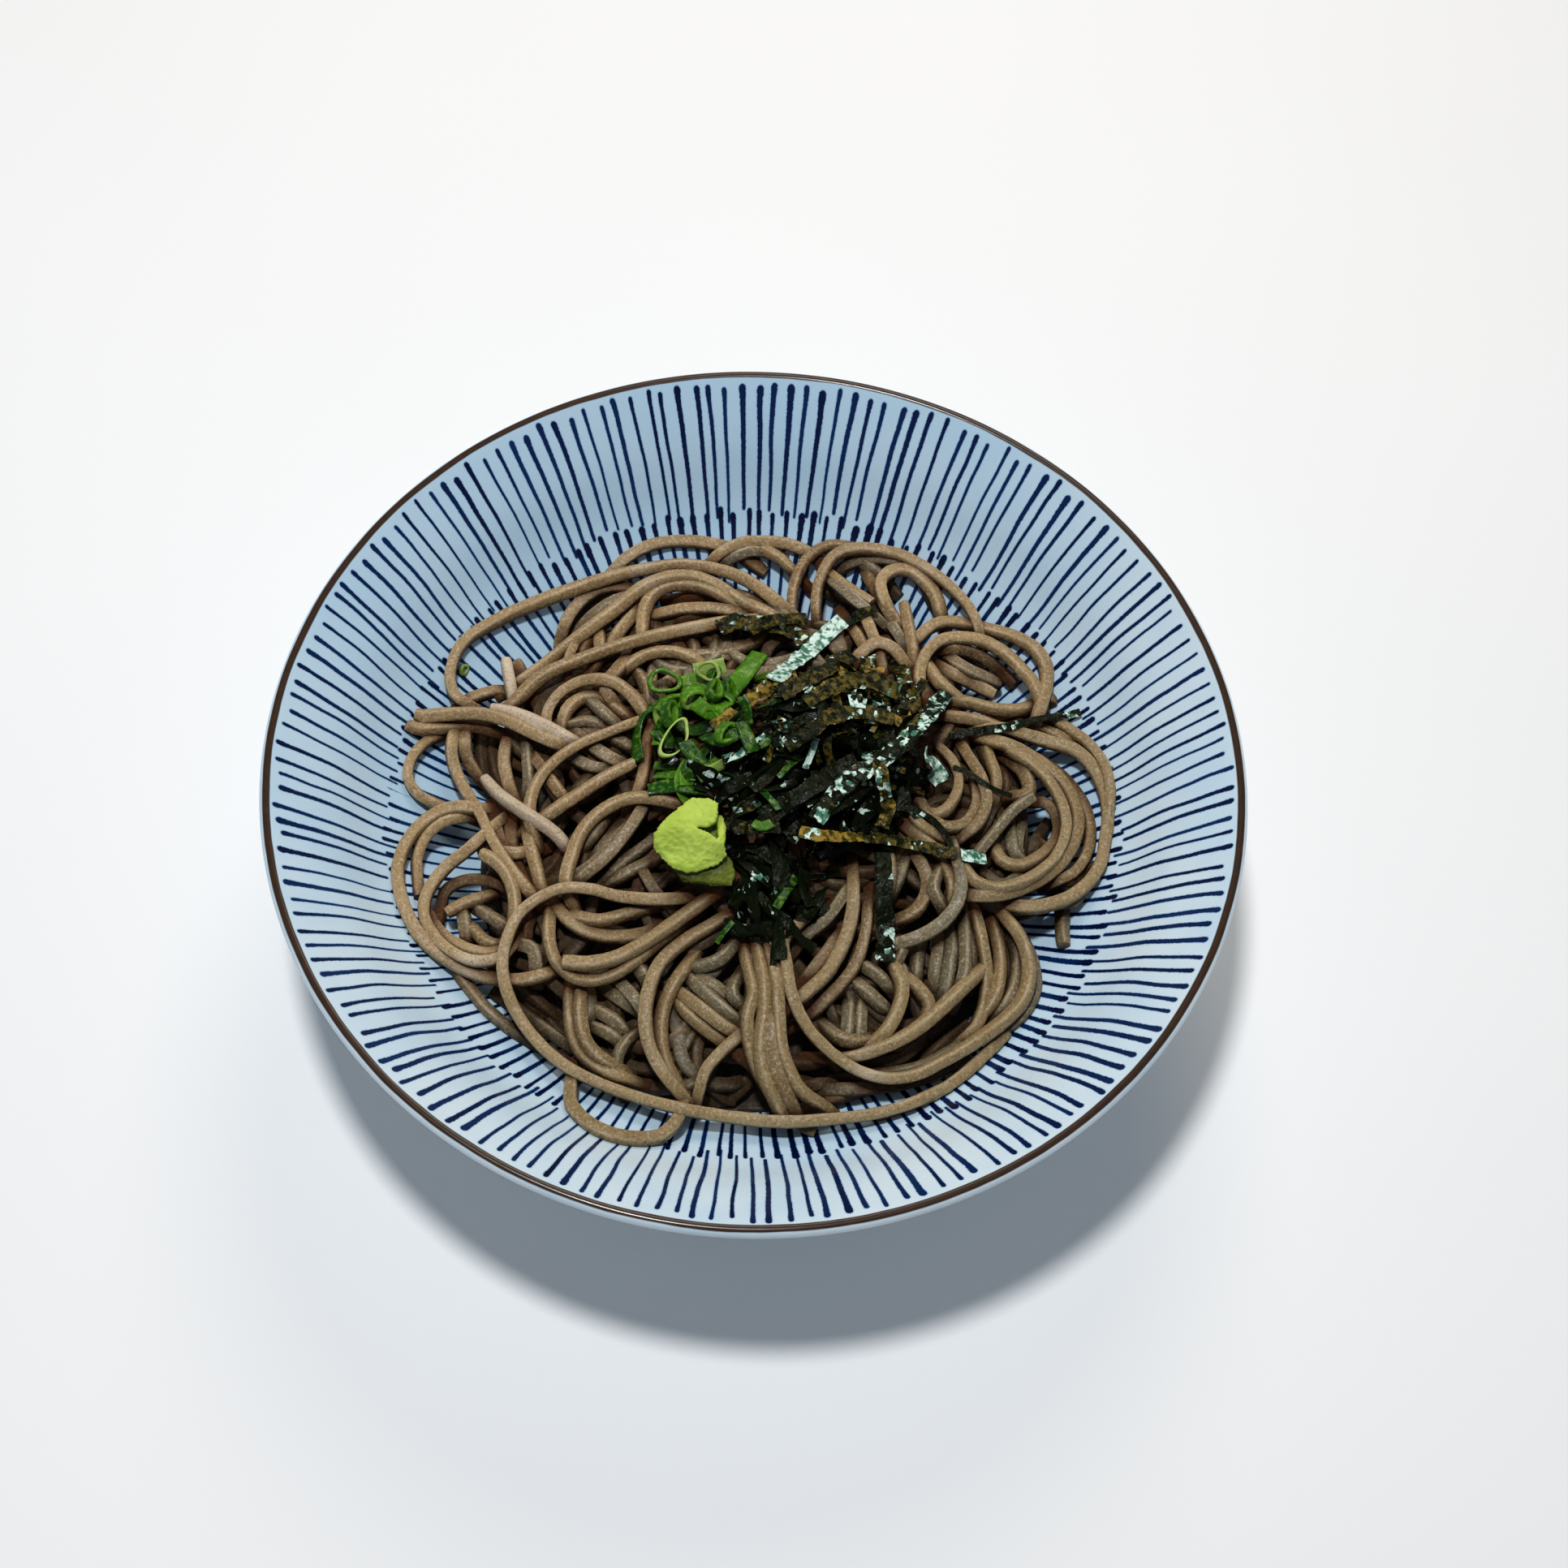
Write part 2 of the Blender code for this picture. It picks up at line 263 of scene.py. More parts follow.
bowl = {
    "insideKnots": ((0, 43), (40, 42), (60, 37.5), (72, 31), (80, 25.2), (84, 21.4), (92, 11.7),
                    (100, 3.95), (104, 0.42)),  # radius, depth below the crest of the lip
    "floorRings": (6.0, 66.0, 6.0), "wallRings": (66.0, 103.8, 1.8), "outerRings": (102.5, 56.0, -2.5),
    "lipRadius": 105.0, "lipRound": 1.5, "lipStart": 135.0, "lipEnd": -45.0, "lipSteps": 14,
    "wallAtLip": 3.1, "wallAtFoot": 5.4, "footRadius": 50.0, "footWidth": 4.6, "footBevel": 0.8,
    "footTop": 6.2, "footRecess": 3.6, "recessRadius": 24.0, "sides": 320,
    "glazeEdge": 104.2, "glazeDepth": 1.0, "bareHeight": 0.6,  # where the drawn inside and the bare foot end
}
glaze = {
    "pale": (0.66, 0.77, 0.83), "cool": (0.40, 0.61, 0.78), "speck": (0.42, 0.52, 0.60),
    "ink": (0.0006, 0.003, 0.030), "inkThin": (0.004, 0.030, 0.130), "halo": (0.30, 0.55, 0.78),
    "lipBrown": (0.022, 0.011, 0.006), "lipTan": (0.052, 0.026, 0.013),
    "bisque": (0.55, 0.50, 0.44), "bisquePale": (0.70, 0.66, 0.60),
    "outer": {"count": 168, "shift": 0.0, "start": 103.2, "end": 81.2, "seed": 1.7},
    "inner": {"count": 156, "shift": 0.45, "start": 82.4, "end": 61.0, "seed": 41.3},
    "seedSteps": (0.0, 3.1, 5.7, 8.3, 11.9),  # for a stroke's place, two ends, pressure and ink
    "halfWidth": 0.47, "lipBandIn": 104.15, "lipBandOut": 105.75,
    "paintedCoolSide": (-0.5, 0.87),  # painted cool light: the glaze is tinted bluer towards this side
}


def smoothCurve(knots, at):
    # A monotone cubic through the knots, so the wall never overshoots them.
    xs, ys = np.array(knots, dtype=float).T
    step = np.diff(xs)
    slope = np.diff(ys) / step
    tangent = np.zeros_like(xs)
    tangent[-1] = slope[-1]
    weightA, weightB = 2 * step[1:] + step[:-1], step[1:] + 2 * step[:-1]
    tangent[1:-1] = (weightA + weightB) / (weightA / slope[:-1] + weightB / slope[1:])
    at = np.clip(at, xs[0], xs[-1])
    cell = np.clip(np.searchsorted(xs, at) - 1, 0, len(step) - 1)
    t = (at - xs[cell]) / step[cell]
    rise = ys[cell] * (1 + 2 * t) * (1 - t) ** 2 + ys[cell + 1] * t * t * (3 - 2 * t)
    return rise + step[cell] * t * (1 - t) * (tangent[cell] * (1 - t) - tangent[cell + 1] * t)


def insideHeight(radius):
    return rimHeight - smoothCurve(bowl["insideKnots"], np.asarray(radius, dtype=float))


def floorAt(radius):
    return float(insideHeight(radius))


def bowlProfile():
    # Radius and height of every ring, from the middle of the inside over the lip to the foot's middle.
    radii = (0.0, *np.arange(*bowl["floorRings"]), *np.arange(*bowl["wallRings"]))
    inside = [(radius, floorAt(radius)) for radius in radii]
    lip = []
    for share in np.linspace(0, 1, bowl["lipSteps"] + 1):
        turn = math.radians(bowl["lipStart"] + (bowl["lipEnd"] - bowl["lipStart"]) * share)
        lip.append((bowl["lipRadius"] + bowl["lipRound"] * math.cos(turn),
                    rimHeight - bowl["lipRound"] + bowl["lipRound"] * math.sin(turn)))
    outside = []
    for radius in np.arange(*bowl["outerRings"]):
        share = (bowl["lipRadius"] - radius) / (bowl["lipRadius"] - bowl["footRadius"])
        wall = bowl["wallAtLip"] + (bowl["wallAtFoot"] - bowl["wallAtLip"]) * share
        slope = floorAt(radius + 0.5) - floorAt(radius - 0.5)
        length = math.hypot(slope, 1.0)
        outside.append((radius + wall * slope / length, floorAt(radius) - wall / length))
    out, bevel, top, recess = bowl["footRadius"], bowl["footBevel"], bowl["footTop"], bowl["footRecess"]
    into = out - bowl["footWidth"]
    foot = [(out + 1.8, top + 0.25), (out + 0.6, top), (out, top - 1.2), (out - 0.4, bevel),
            (out - 0.55, 0.35), (out - 0.4 - bevel, 0.0), (into + bevel, 0.0), (into + 0.15, 0.35),
            (into, bevel), (into - 0.3, 2.4), (into - 0.9, 3.3), (into - 2.4, recess),
            (bowl["recessRadius"], recess), (0.0, recess)]
    return inside + lip + outside + foot


def strokeBand(shade, spot, angle, radius, ring):
    # One ring of hand-drawn strokes, each with its own place, width, length and ink. Returns the body of
    # the strokes, the blue that bleeds out around them, and how strong the ink is.
    lane = shade.plus(shade.times(angle, ring["count"] / fullTurn), ring["shift"])
    index = shade.math("FLOOR", lane)
    draws = [shade.chance(index, ring["seed"] + step) for step in glaze["seedSteps"]]
    place, early, late, press, strength = draws
    path = shade.join(shade.times(index, 7.3), shade.times(radius, 0.09), ring["seed"])
    wander = shade.noise(path, 1.0, 1.0)
    place = shade.plus(shade.fit(place, 0.34, 0.33), shade.fit(wander, 0.30, -0.15))
    off = shade.math("ABSOLUTE", shade.minus(shade.minus(lane, index), place))
    off = shade.times(shade.times(off, radius), fullTurn / ring["count"])  # now in mm
    begin = shade.fit(early, -1.5, ring["start"] + 0.6)
    finish = shade.fit(late, 3.4, ring["end"] - 1.7)
    along = shade.math("DIVIDE", shade.minus(begin, radius), ring["start"] - ring["end"], clamp=True)
    width = shade.times(shade.fit(press, 0.55, 0.62), shade.fit(along, -0.42, 1.12))
    width = shade.times(width, glaze["halfWidth"])
    width = shade.times(width, shade.fit(shade.noise(spot, 1500.0, 2.0), 0.7, 0.65))  # ragged edge
    width = shade.times(width, shade.fit(shade.noise(spot, 14.0, 1.0), 1.3, 0.35))  # fuller, drier stretches
    blot = shade.ramp(radius, shade.minus(begin, 3.0), shade.minus(begin, 0.8), 1.0, 1.2)
    width = shade.times(width, blot)
    over = shade.math("MAXIMUM", shade.minus(radius, shade.minus(begin, width)))
    under = shade.math("MAXIMUM", shade.minus(shade.plus(finish, width), radius))
    squares = shade.plus(shade.times(over, over), shade.times(under, under))
    away = shade.math("SQRT", shade.fit(off, off, squares))
    body = shade.ramp(away, shade.plus(width, 0.10), shade.minus(width, 0.06))
    halo = shade.ramp(away, shade.plus(width, 0.34), width, 0.0, 0.7)
    strength = shade.math("SUBTRACT", shade.fit(strength, 0.5, 0.5), shade.times(along, 0.12), clamp=True)
    return body, halo, strength


def glazeGround(shade, spot, x, y, radius, inside):
    # Pale glaze with cooler clouds, pooled low down, and painted cool light that makes it bluer towards one
    # side.
    tint = shade.mix(shade.cloud(spot, 34.0, 4.0, 0.35, 0.70), glaze["pale"], glaze["cool"])
    tint = shade.mix(0.55, tint, glaze["pale"])
    pooled = shade.times(shade.ramp(radius, 88.0, 74.0), shade.times(inside, 0.45))
    tint = shade.mix(pooled, tint, glaze["cool"])
    # Painted cool light: bluer towards one side, where the light falls cooler.
    paintedCoolSide = shade.plus(shade.times(x, glaze["paintedCoolSide"][0]), shade.times(y, glaze["paintedCoolSide"][1]))
    tint = shade.mix(shade.ramp(paintedCoolSide, -40.0, 100.0, 0.0, 0.62), tint, glaze["cool"])
    return shade.mix(shade.cloud(spot, 900.0, 2.0, 0.66, 0.78, 0.0, 0.25), tint, glaze["speck"])


def lipBand(shade, spot, radius, z):
    # The brown dressing of the lip, with a slightly uneven edge.
    at = shade.plus(radius, shade.fit(shade.noise(spot, 60.0, 3.0), 0.5, -0.25))
    band = shade.times(shade.ramp(at, glaze["lipBandIn"] - 0.15, glaze["lipBandIn"] + 0.15),
                       shade.ramp(at, glaze["lipBandOut"] + 0.18, glaze["lipBandOut"] - 0.12))
    return shade.times(band, shade.ramp(z, rimHeight - 1.6, rimHeight - 1.0))


def porcelainMaterial():
    shade = Shade("porcelainGlaze", Specular_IOR_Level=0.20, Coat_Weight=0.08, Coat_Roughness=0.08)
    spot = shade.where()
    x, y, z = shade.split(shade.scaled(spot, 1 / mm, 1 / mm, 1 / mm))
    radius = shade.math("SQRT", shade.plus(shade.times(x, x), shade.times(y, y)))
    angle = shade.plus(shade.math("ARCTAN2", y, x), math.pi)
    angle = shade.plus(angle, shade.fit(shade.noise(spot, 22.0, 1.0), 0.014, -0.007))
    inside, bare = shade.attribute("inside"), shade.attribute("foot")
    outer, outerHalo, outerInk = strokeBand(shade, spot, angle, radius, glaze["outer"])
    inner, innerHalo, innerInk = strokeBand(shade, spot, angle, radius, glaze["inner"])
    crest = glaze["inner"]["start"]
    blob = shade.times(shade.ramp(radius, crest - 4.5, crest - 1.0), 0.45)
    innerInk = shade.math("ADD", innerInk, blob, clamp=True)
    tint = glazeGround(shade, spot, x, y, radius, inside)
    for halo in (outerHalo, innerHalo):
        tint = shade.mix(shade.times(halo, inside), tint, glaze["halo"], "MULTIPLY")
    for body, ink in ((outer, outerInk), (inner, innerInk)):
        tint = shade.mix(shade.times(body, inside), tint, shade.mix(ink, glaze["inkThin"], glaze["ink"]))
    brown = shade.mix(shade.noise(spot, 420.0, 3.0), glaze["lipBrown"], glaze["lipTan"])
    tint = shade.mix(lipBand(shade, spot, radius, z), tint, brown)
    bisque = shade.mix(shade.noise(spot, 1400.0, 4.0), glaze["bisque"], glaze["bisquePale"])
    rough = shade.fit(bare, 0.55, shade.fit(shade.noise(spot, 55.0, 2.0), 0.10, 0.16))
    ripple = shade.times(shade.noise(spot, 75.0, 2.0), 0.6)
    relief = shade.plus(ripple, shade.times(shade.plus(outer, inner), 0.10))
    grit = shade.times(shade.times(bare, shade.noise(spot, 1900.0, 4.0)), 1.2)
    return shade.finish(shade.mix(bare, tint, bisque), rough, shade.plus(relief, grit), 0.00018)


def makeBowl():
    profile, angles = bowlProfile(), evenAngles(bowl["sides"])
    first, last = ((0, 0, height) for _, height in (profile[0], profile[-1]))
    rings = [[(radius * math.cos(angle), radius * math.sin(angle), height) for angle in angles]
             for radius, height in profile[1:-1]]
    piece = keepShape(closedSkin(first, rings, last), "porcelainBowl", porcelainMaterial())
    inside, foot = [], []
    for vertex in piece.data.vertices:
        radius, height = math.hypot(vertex.co.x, vertex.co.y) / mm, vertex.co.z / mm
        drawn = height > floorAt(radius) - bowl["glazeDepth"] and radius < bowl["glazeEdge"]
        inside.append(float(drawn))
        foot.append(float(height < bowl["bareHeight"]))
    storeValues(piece.data, "inside", inside)
    storeValues(piece.data, "foot", foot)
    settle(piece, "bowl")


heap = {
    "width": 2.85, "thickness": 2.5, "corner": 0.72, "crumple": 0.35, "bend": 3.0, "ringStep": 1.77,
    "sizes": (0.92, 1.08), "taper": 0.14, "toneSpread": 0.07, "dryTint": 0.26,
    "cell": 0.5, "half": 92.0, "step": 1.0,  # the height map, and the pace along a strand
    "topDepth": 11.0, "edgeDepth": 24.5, "edgeRadius": 78.0,  # the top of the heap below the lip
    "guideTop": 10.0, "guideEdge": 23.0, "guideClear": 2.0,
    "coreDrop": 13.5, "coreRadius": 61.0, "coreEdge": 9.0, "coreLift": 0.3, "coreClear": 0.25,
    "coreSides": 96, "coreRings": 26, "coreLump": 0.9, "coreLumpScale": 0.16, "coreSpread": 1.5,
    "coreUnder": (0.97, 0.6, 0.3),
    "tuck": 4.0, "sinkReach": 9.0, "sinkDepth": 4.5,  # how far hidden ends run on, and how they go down
    "sinkCurve": 1.6, "bridgePasses": 12, "crossPasses": 6, "crossApart": 7, "press": 0.25,
    "taperSteps": 1.2, "turn": 1.5, "twist": 0.03, "swell": 0.05, "swellPace": 0.19,
    "bedCount": 130, "bedReach": 61.0, "nearReach": 7.0, "bedSeed": 21, "bedStep": 1.4, "bedSteps": (22, 52),
    # the deep strands' grey and brown tints are partly painted shade
    "bedCurl": 0.13, "bedDrop": 7.5, "bedTones": (0.05, 0.12, 0.20, 0.30), "bedGive": 0.15,
    "bedStartCurl": 0.09, "bedCurlChange": 0.035, "bedTurnAt": 0.85, "bedTurnBack": 0.12,
    "bedShortest": 8,  # a curl needs more points than this
    "underCount": 16, "underCentre": (0.0, 3.0), "underReach": (13.0, 15.0), "underSeed": 6,
    "underDrop": 3.5, "underTones": (0.20, 0.42), "underLengths": (26, 40),  # strands below the toppings
    "underBend": 0.03,
    "drops": (4.6, 2.2, 0.0), "give": 0.45,  # how far below the top the three lists of strands stay
    "shadeTurns": 12, "shadeReaches": (1.2, 2.4, 4.2, 7.0),  # where neighbours that shade a point are sought
    "shadeAbove": 0.4,  # bare glaze shades nothing
}
soba = {
    "grey": (0.182, 0.152, 0.094), "brown": (0.240, 0.143, 0.057), "tan": (0.366, 0.242, 0.108),
    "dry": (0.62, 0.50, 0.365), "cloud": (0.215, 0.128, 0.050), "edge": (0.58, 0.45, 0.29),
    "grain": (0.60, 0.47, 0.31), "husk": (0.065, 0.040, 0.020), "paintedNearShade": (0.79, 0.82, 0.79),
    "greyPaintedShade": (0.19, 0.120, 0.050), "tanPaintedShade": (0.19, 0.080, 0.010),
    "coreDark": (0.009, 0.005, 0.002), "corePale": (0.040, 0.023, 0.010),
}

# Strands in the order they lie, lowest first: a letter for the tint, and the route in mm as x, y pairs.
# t is tan, g grey, b brown and p pale; grey and brown are partly the strands' own colour and partly painted
# shade for strands lying lower. < marks a cut end at the start of the route, > one at its end.
deepStrands = (
    ("g", "13.5,55.5 17.5,53 21,51"), ("t", "21.5,48 23,44 24.5,40.5"), ("g", "45.5,42.5 48,39 51,36"),
    ("g", "53.5,2 52,-1 50.5,-5 48,-8"), ("g", "50.5,15 51.5,12.5 53,9.5 54.5,6"),
    ("g", "46.5,-27 48,-30 49,-35 49,-39.5"), ("g", "41.5,-32 41.5,-35.5 41,-39 41,-43"),
    ("g", "44,-30 44.5,-34 44,-39 43.5,-43.5 42.5,-47"), ("g", "37.5,-35 37,-38 37,-42"),
    ("g", "20,-28.5 17,-31.5 14,-34 11.5,-36"), ("g", "-20,-14 -24,-17.5 -28,-21 -31.5,-24.5"),
    ("g", "-29,-12.5 -32,-17 -34.5,-22"), ("g", "-63.5,15.5 -62.5,12 -62,8 -61,4 -59.5,0"),
    ("g", "-60.5,15 -59.5,11.5 -59.5,8 -58.5,4.5 -57,.5 -55,-3"),
    ("g", "-45.5,42 -44,47 -42,50 -38.5,52 -35,51.5"), ("g", "-21,44 -18,45 -13,47 -8,47.5 -4,47"),
    ("g", "-10,-43.5 -7,-42.5 -4.5,-41 -3,-39 -1,-36.5"), ("g", "-8,-46.5 -5.5,-47.5 -3,-49.5"),
    ("g", "-1,-45.5 -2,-47.5 -1,-50 1,-51"), ("g", "15.5,-66.5 18.5,-65.5 21,-66"),
    ("t", "17,-70.5 22,-68 27,-66"), ("g", "53.5,-24 55,-27 57,-31.5 57.5,-35.5 57,-39 55,-44 53,-48"),
    ("g", "-42,-52.5 -40,-55.5 -37.5,-58"), ("g", "-32,-51 -31.5,-54 -32.5,-56.5"),
    ("g", "-26.5,-50 -24,-51.5 -21.5,-53"), ("g", "-29.5,-53.5 -26.5,-55 -24.5,-57"),
    ("g", "-29.5,-57 -27,-58 -25,-59.5"), ("g", "-30.5,-61.5 -27.5,-62.5 -25,-64"), ("g", "23,-51 23,-55.5"),
    ("g", "25.5,-50 25.5,-55"), ("g", "18.5,-54.5 21,-56 24,-56.5 27,-56"),
    ("g", "24.5,-44.5 27.5,-46.5 30,-48.5"), ("g", "45.5,-52.5 43,-55 41,-57"),
    ("g", "59,-3.5 58.5,-8 59.5,-12"), ("g>", "66.5,-15 68.5,-19 69,-23 69,-26.5 69.5,-29"),
    ("g", "-12.5,-68.5 -9,-68 -6.5,-66 -5,-63"), ("g>", "6,-60 8,-65 11,-69 14,-74 17.5,-75.2"),
)
middleStrands = (
    ("g", "-56,-40 -51,-46 -45,-51 -39,-55"), ("g", "-53,-43 -47,-48 -41,-53"),
    ("g", "-58.8,-47.5 -53.9,-52.8 -48.2,-57.1 -43.4,-59.9 -35.3,-64"),
    ("g", "-50,-51 -44,-55 -38,-59 -31,-63"),
    ("t", "-34.5,-67.5 -34.2,-72.3 -30.5,-77.2 -24.5,-80.2 -17.9,-79.7 -13.1,-76.9 -11.2,-74.1 -10.5,-71"),
    ("t", "33.4,-69.5 40.6,-66.1 46,-62.3 51.4,-57.1 54.6,-53.4"),
    ("g", "19.6,-66.9 28.6,-65.5 37.7,-63 45.9,-59"), ("g", "24,-63.5 31,-62.5 38,-60.5 44,-57 49,-53"),
    ("g", "57.5,-26 61,-31 63,-36 63,-41 60.5,-46 57.5,-49"),
    ("t", "-36.5,61 -34,65 -29,69 -23,70.5 -16,70 -9,67.5 -4,63"),
    ("t", "-15,62 -12,67 -7,70.8 -2,71.5 3,71.3 8,69 11,66"), ("g", "-12.5,61 -9,65.5 -4.5,68 0,67"),
    ("t", "-3.5,69.5 1.5,66 5,62 8,58"), ("b", "5.5,47 5.5,55 7,63 10,69 14,72 18,72"),
    ("g", "15,62 18,65.5 22,68 27,69 32,67 36,63 38,58"), ("g", "20,68 25,64 28,60"),
    ("t", "-47,40 -46.5,44 -44,50 -40,54 -34,54.5 -29,52"), ("g", "-44,36 -43,41 -40,46 -36,50 -31,52"),
    ("t", "-20,51 -13,52.5 -6,50 0,47 4,44"), ("b", "-27,45 -20,47.5 -12,48 -5,46.5"),
    ("t", "-42.5,31 -40.5,38 -37,44 -33,49"), ("t", "-36,33 -34,40 -30,47 -28,50"),
    ("t", "-71,13.5 -75,12 -78,8 -78.3,3 -76,-1 -72,-4 -67,-6.5 -62,-9"),
    ("t<", "-80,15.8 -72,15.3 -65,15 -60,13.5 -56,11.5"),
    ("t", "-70,19 -66.6,22.4 -62.1,24 -58.9,24.3 -52.7,21"), ("t", "-55,29 -52.5,24 -50,19"),
    ("g", "-33,12 -38,15 -43,14"), ("t", "-44,14 -43.5,18 -40,21.5 -36,21 -32,18 -28,14.5"),
    ("g", "-38,20 -34,16 -31,13"), ("g", "-42,6 -37,3 -32,2"), ("g", "-39,10 -34,6 -29,3"),
    ("g", "-36,11 -30,9 -26,6"), ("t", "-56,12.5 -56.5,6 -55,0 -52.5,-6 -50,-12"),
    ("g", "-52,11 -51,5 -50,-1 -50,-7"), ("g", "-46,0 -43,-5 -40,-8"), ("b", "-47.5,3 -44,-2 -41,-6"),
    ("t", "-34.5,25.5 -31,30 -27,33.5 -21,34.5 -16,32.5 -13,30"), ("b", "-33,29 -35.5,24 -33,20"),
    ("g", "-26,-11 -30,-16 -35,-22 -41,-25"), ("g", "-31,-8 -34,-13 -37,-18"),
    ("g", "-24,-7 -27,-13 -31,-19 -36,-24"), ("g", "-17,-18 -23,-21 -29,-24.5"),
    ("t", "-53,-11 -52,-17 -50,-22 -47,-27 -44.5,-31"), ("b", "-57,-9 -55,-15 -53,-19"),
    ("t", "-55,-17.5 -51,-18 -47,-17.5"), ("t", "-49.5,-10 -48.5,-15 -46.5,-21 -44.5,-27 -43,-31"),
    ("b", "-46,-31 -47,-36 -46,-41"), ("g", "-48.5,-42.5 -44,-44.5 -40,-47.5 -37,-50"),
    ("g", "-43.5,-34 -42,-38 -43,-42"), ("g", "-48,-39 -45,-40 -44,-44"),
    ("b", "-66.5,-30 -66,-26 -62,-23.8 -57,-24 -53,-25.5 -49,-28"), ("t<", "-65.2,-31.2 -61,-29 -57,-28"),
    ("g", "-61,-33 -60,-37"), ("g", "-56,-32 -52,-34.5 -48.5,-37"), ("g", "-58,-36 -55,-38.5 -51,-39"),
    ("t", "-68.5,-32 -66,-35.5 -62,-38.5 -57,-40.5 -53,-40.5 -50,-37"),
    ("t", "-42,-29 -39,-33 -34.5,-36 -29,-37.3 -22.5,-37 -17,-35"),
    ("t", "-36,-33 -31,-33.7 -25,-32 -19,-30.2 -13,-27"), ("g", "-22,-24 -20,-27 -17,-30"),
    ("g", "-24,-42 -21,-45 -19,-49"), ("g", "-25,-48 -22,-51 -20,-54"),
    ("t", "-14.5,-50 -10,-54 -5,-57.5 -1,-60 3,-63"), ("g", "-11,-46 -6,-50 -1.5,-53.5 3,-56"),
    ("t", "-13,-49 -9,-51.5 -4,-55 1,-57.5"), ("t", "3.5,-55 -0.5,-58 -4,-61.5 -6.5,-65 -7.5,-69.5"),
    ("g", "-21,-57 -24,-60 -25.2,-63.5 -24,-67.5"),
    ("t", "-37,-46 -36.3,-52 -35.5,-57 -33,-62 -28,-65.5 -22,-67.5"),
    ("b", "-34.3,-48 -33.8,-54 -32.5,-59 -29.5,-62.5 -25,-65"), ("g", "33,-39 34.5,-41 35,-44"),
    ("g", "26,-40.5 29,-42 31,-44"), ("g", "31.5,-34 34,-35 33,-38"),
    ("t", "31.3,-38.5 34,-43 33.8,-47.5 31.8,-52.5 28.5,-56.5"),
    ("t", "35,-42 38.5,-44.5 40.3,-47.5 38,-51.5"), ("t", "49,-24 51,-31 52.2,-37 52.3,-43 50.5,-50 47,-54"),
    ("t", "52.5,-25 54.5,-31 55.3,-37 54.3,-43 52,-47"), ("g", "56,-26 58.5,-31 59,-37 57.5,-43 55,-47"),
    ("g", "47,-27 47.5,-33 47.5,-39 46,-44"),
    ("t", "50,-39 46.5,-43 42.5,-47.5 38,-52 33.5,-55.3 28.5,-58 23,-60 17,-60.5"),
    ("g", "3,-38 1.5,-43 2.5,-48 1,-54"), ("b", "26,-25 25.7,-33 24,-40 20,-46 15.5,-51 12,-54"),
    ("g", "20.5,-25 17,-31 13,-35 10.5,-39"), ("t", "21,-33 17.7,-38 15,-42 12.3,-46"),
    ("b", "34.5,-12 38,-17 38.7,-22 36.3,-27 32.5,-29.5"), ("g", "33.5,-15 32,-20.5 30,-25"),
    ("g", "41,-17 40,-21 42,-25"), ("b", "42,-15 44,-19 44,-24"), ("g", "30,-13 30.5,-20 29,-27"),
    ("t", "30,-3.5 34.5,-8 39,-11 43,-14"), ("t", "33,-2 36,-6 41,-9"),
    ("b", "35.5,8 35,3 37,-2 41,-6 46,-5 49,1 48,8"), ("t", "39.5,14.5 43.3,11 45,6 44,1 41,-3 37,-3.5"),
    ("b", "47,13 50,8 51.5,2 49.5,-4 46,-8"), ("t", "52,13 53.5,8 53,3"), ("b", "56,14 60,11 61,6 57,4"),
    ("g", "64,-3 62,-7 62,-11"), ("g", "57,-5 58,-10 61,-12"),
    ("t", "62,4 65,4.5 67.3,2 68,-2 66.5,-6 63,-10 59,-12.5 55,-12 53,-9"), ("g", "51,-16 55,-18 58,-16"),
    ("g", "48,-20 53,-23 58,-23 63,-21"), ("b", "66,-9 70,-14 74,-11"),
    ("g", "62,-22.5 67,-20 72,-18 73,-14"), ("t", "60,26.5 66,27 71.5,25 76,22 79,16.5 80,10 79.5,4"),
    ("b", "55,24 62,24 68,23 73,20"), ("t", "36,26 40.5,27 46,27.7 52.5,27 58.5,28 64,31.5"),
    ("t", "37,22.5 43,23 50,23 56,21.5"), ("t>", "39.5,37 45,34.5 50,32.5 53,31.2"),
    ("g", "42,40 46,37.5 50,36"), ("b", "38,41 44,43 50,42 55,38"), ("t", "18.5,47 21.5,42 23,38 22,34"),
    ("t", "21.5,52 24,45 26,39 27,33"), ("g", "25,53.5 28,48.5 31,43.5 33,38"), ("b", "24,60 27,54 30,48"),
    ("t>", "14.5,61 19,57 24,53.5"), ("g", "17,57 21,53 25,49"),
    ("t<", "31.5,55 32.5,49.5 33.5,43.5 34,37.5 33,32"),
    ("t", "41,50 40,54.5 39,59 36,63.5 32.5,66.3 28.5,65.3 26,61.5 26.3,57 28,52"),
)
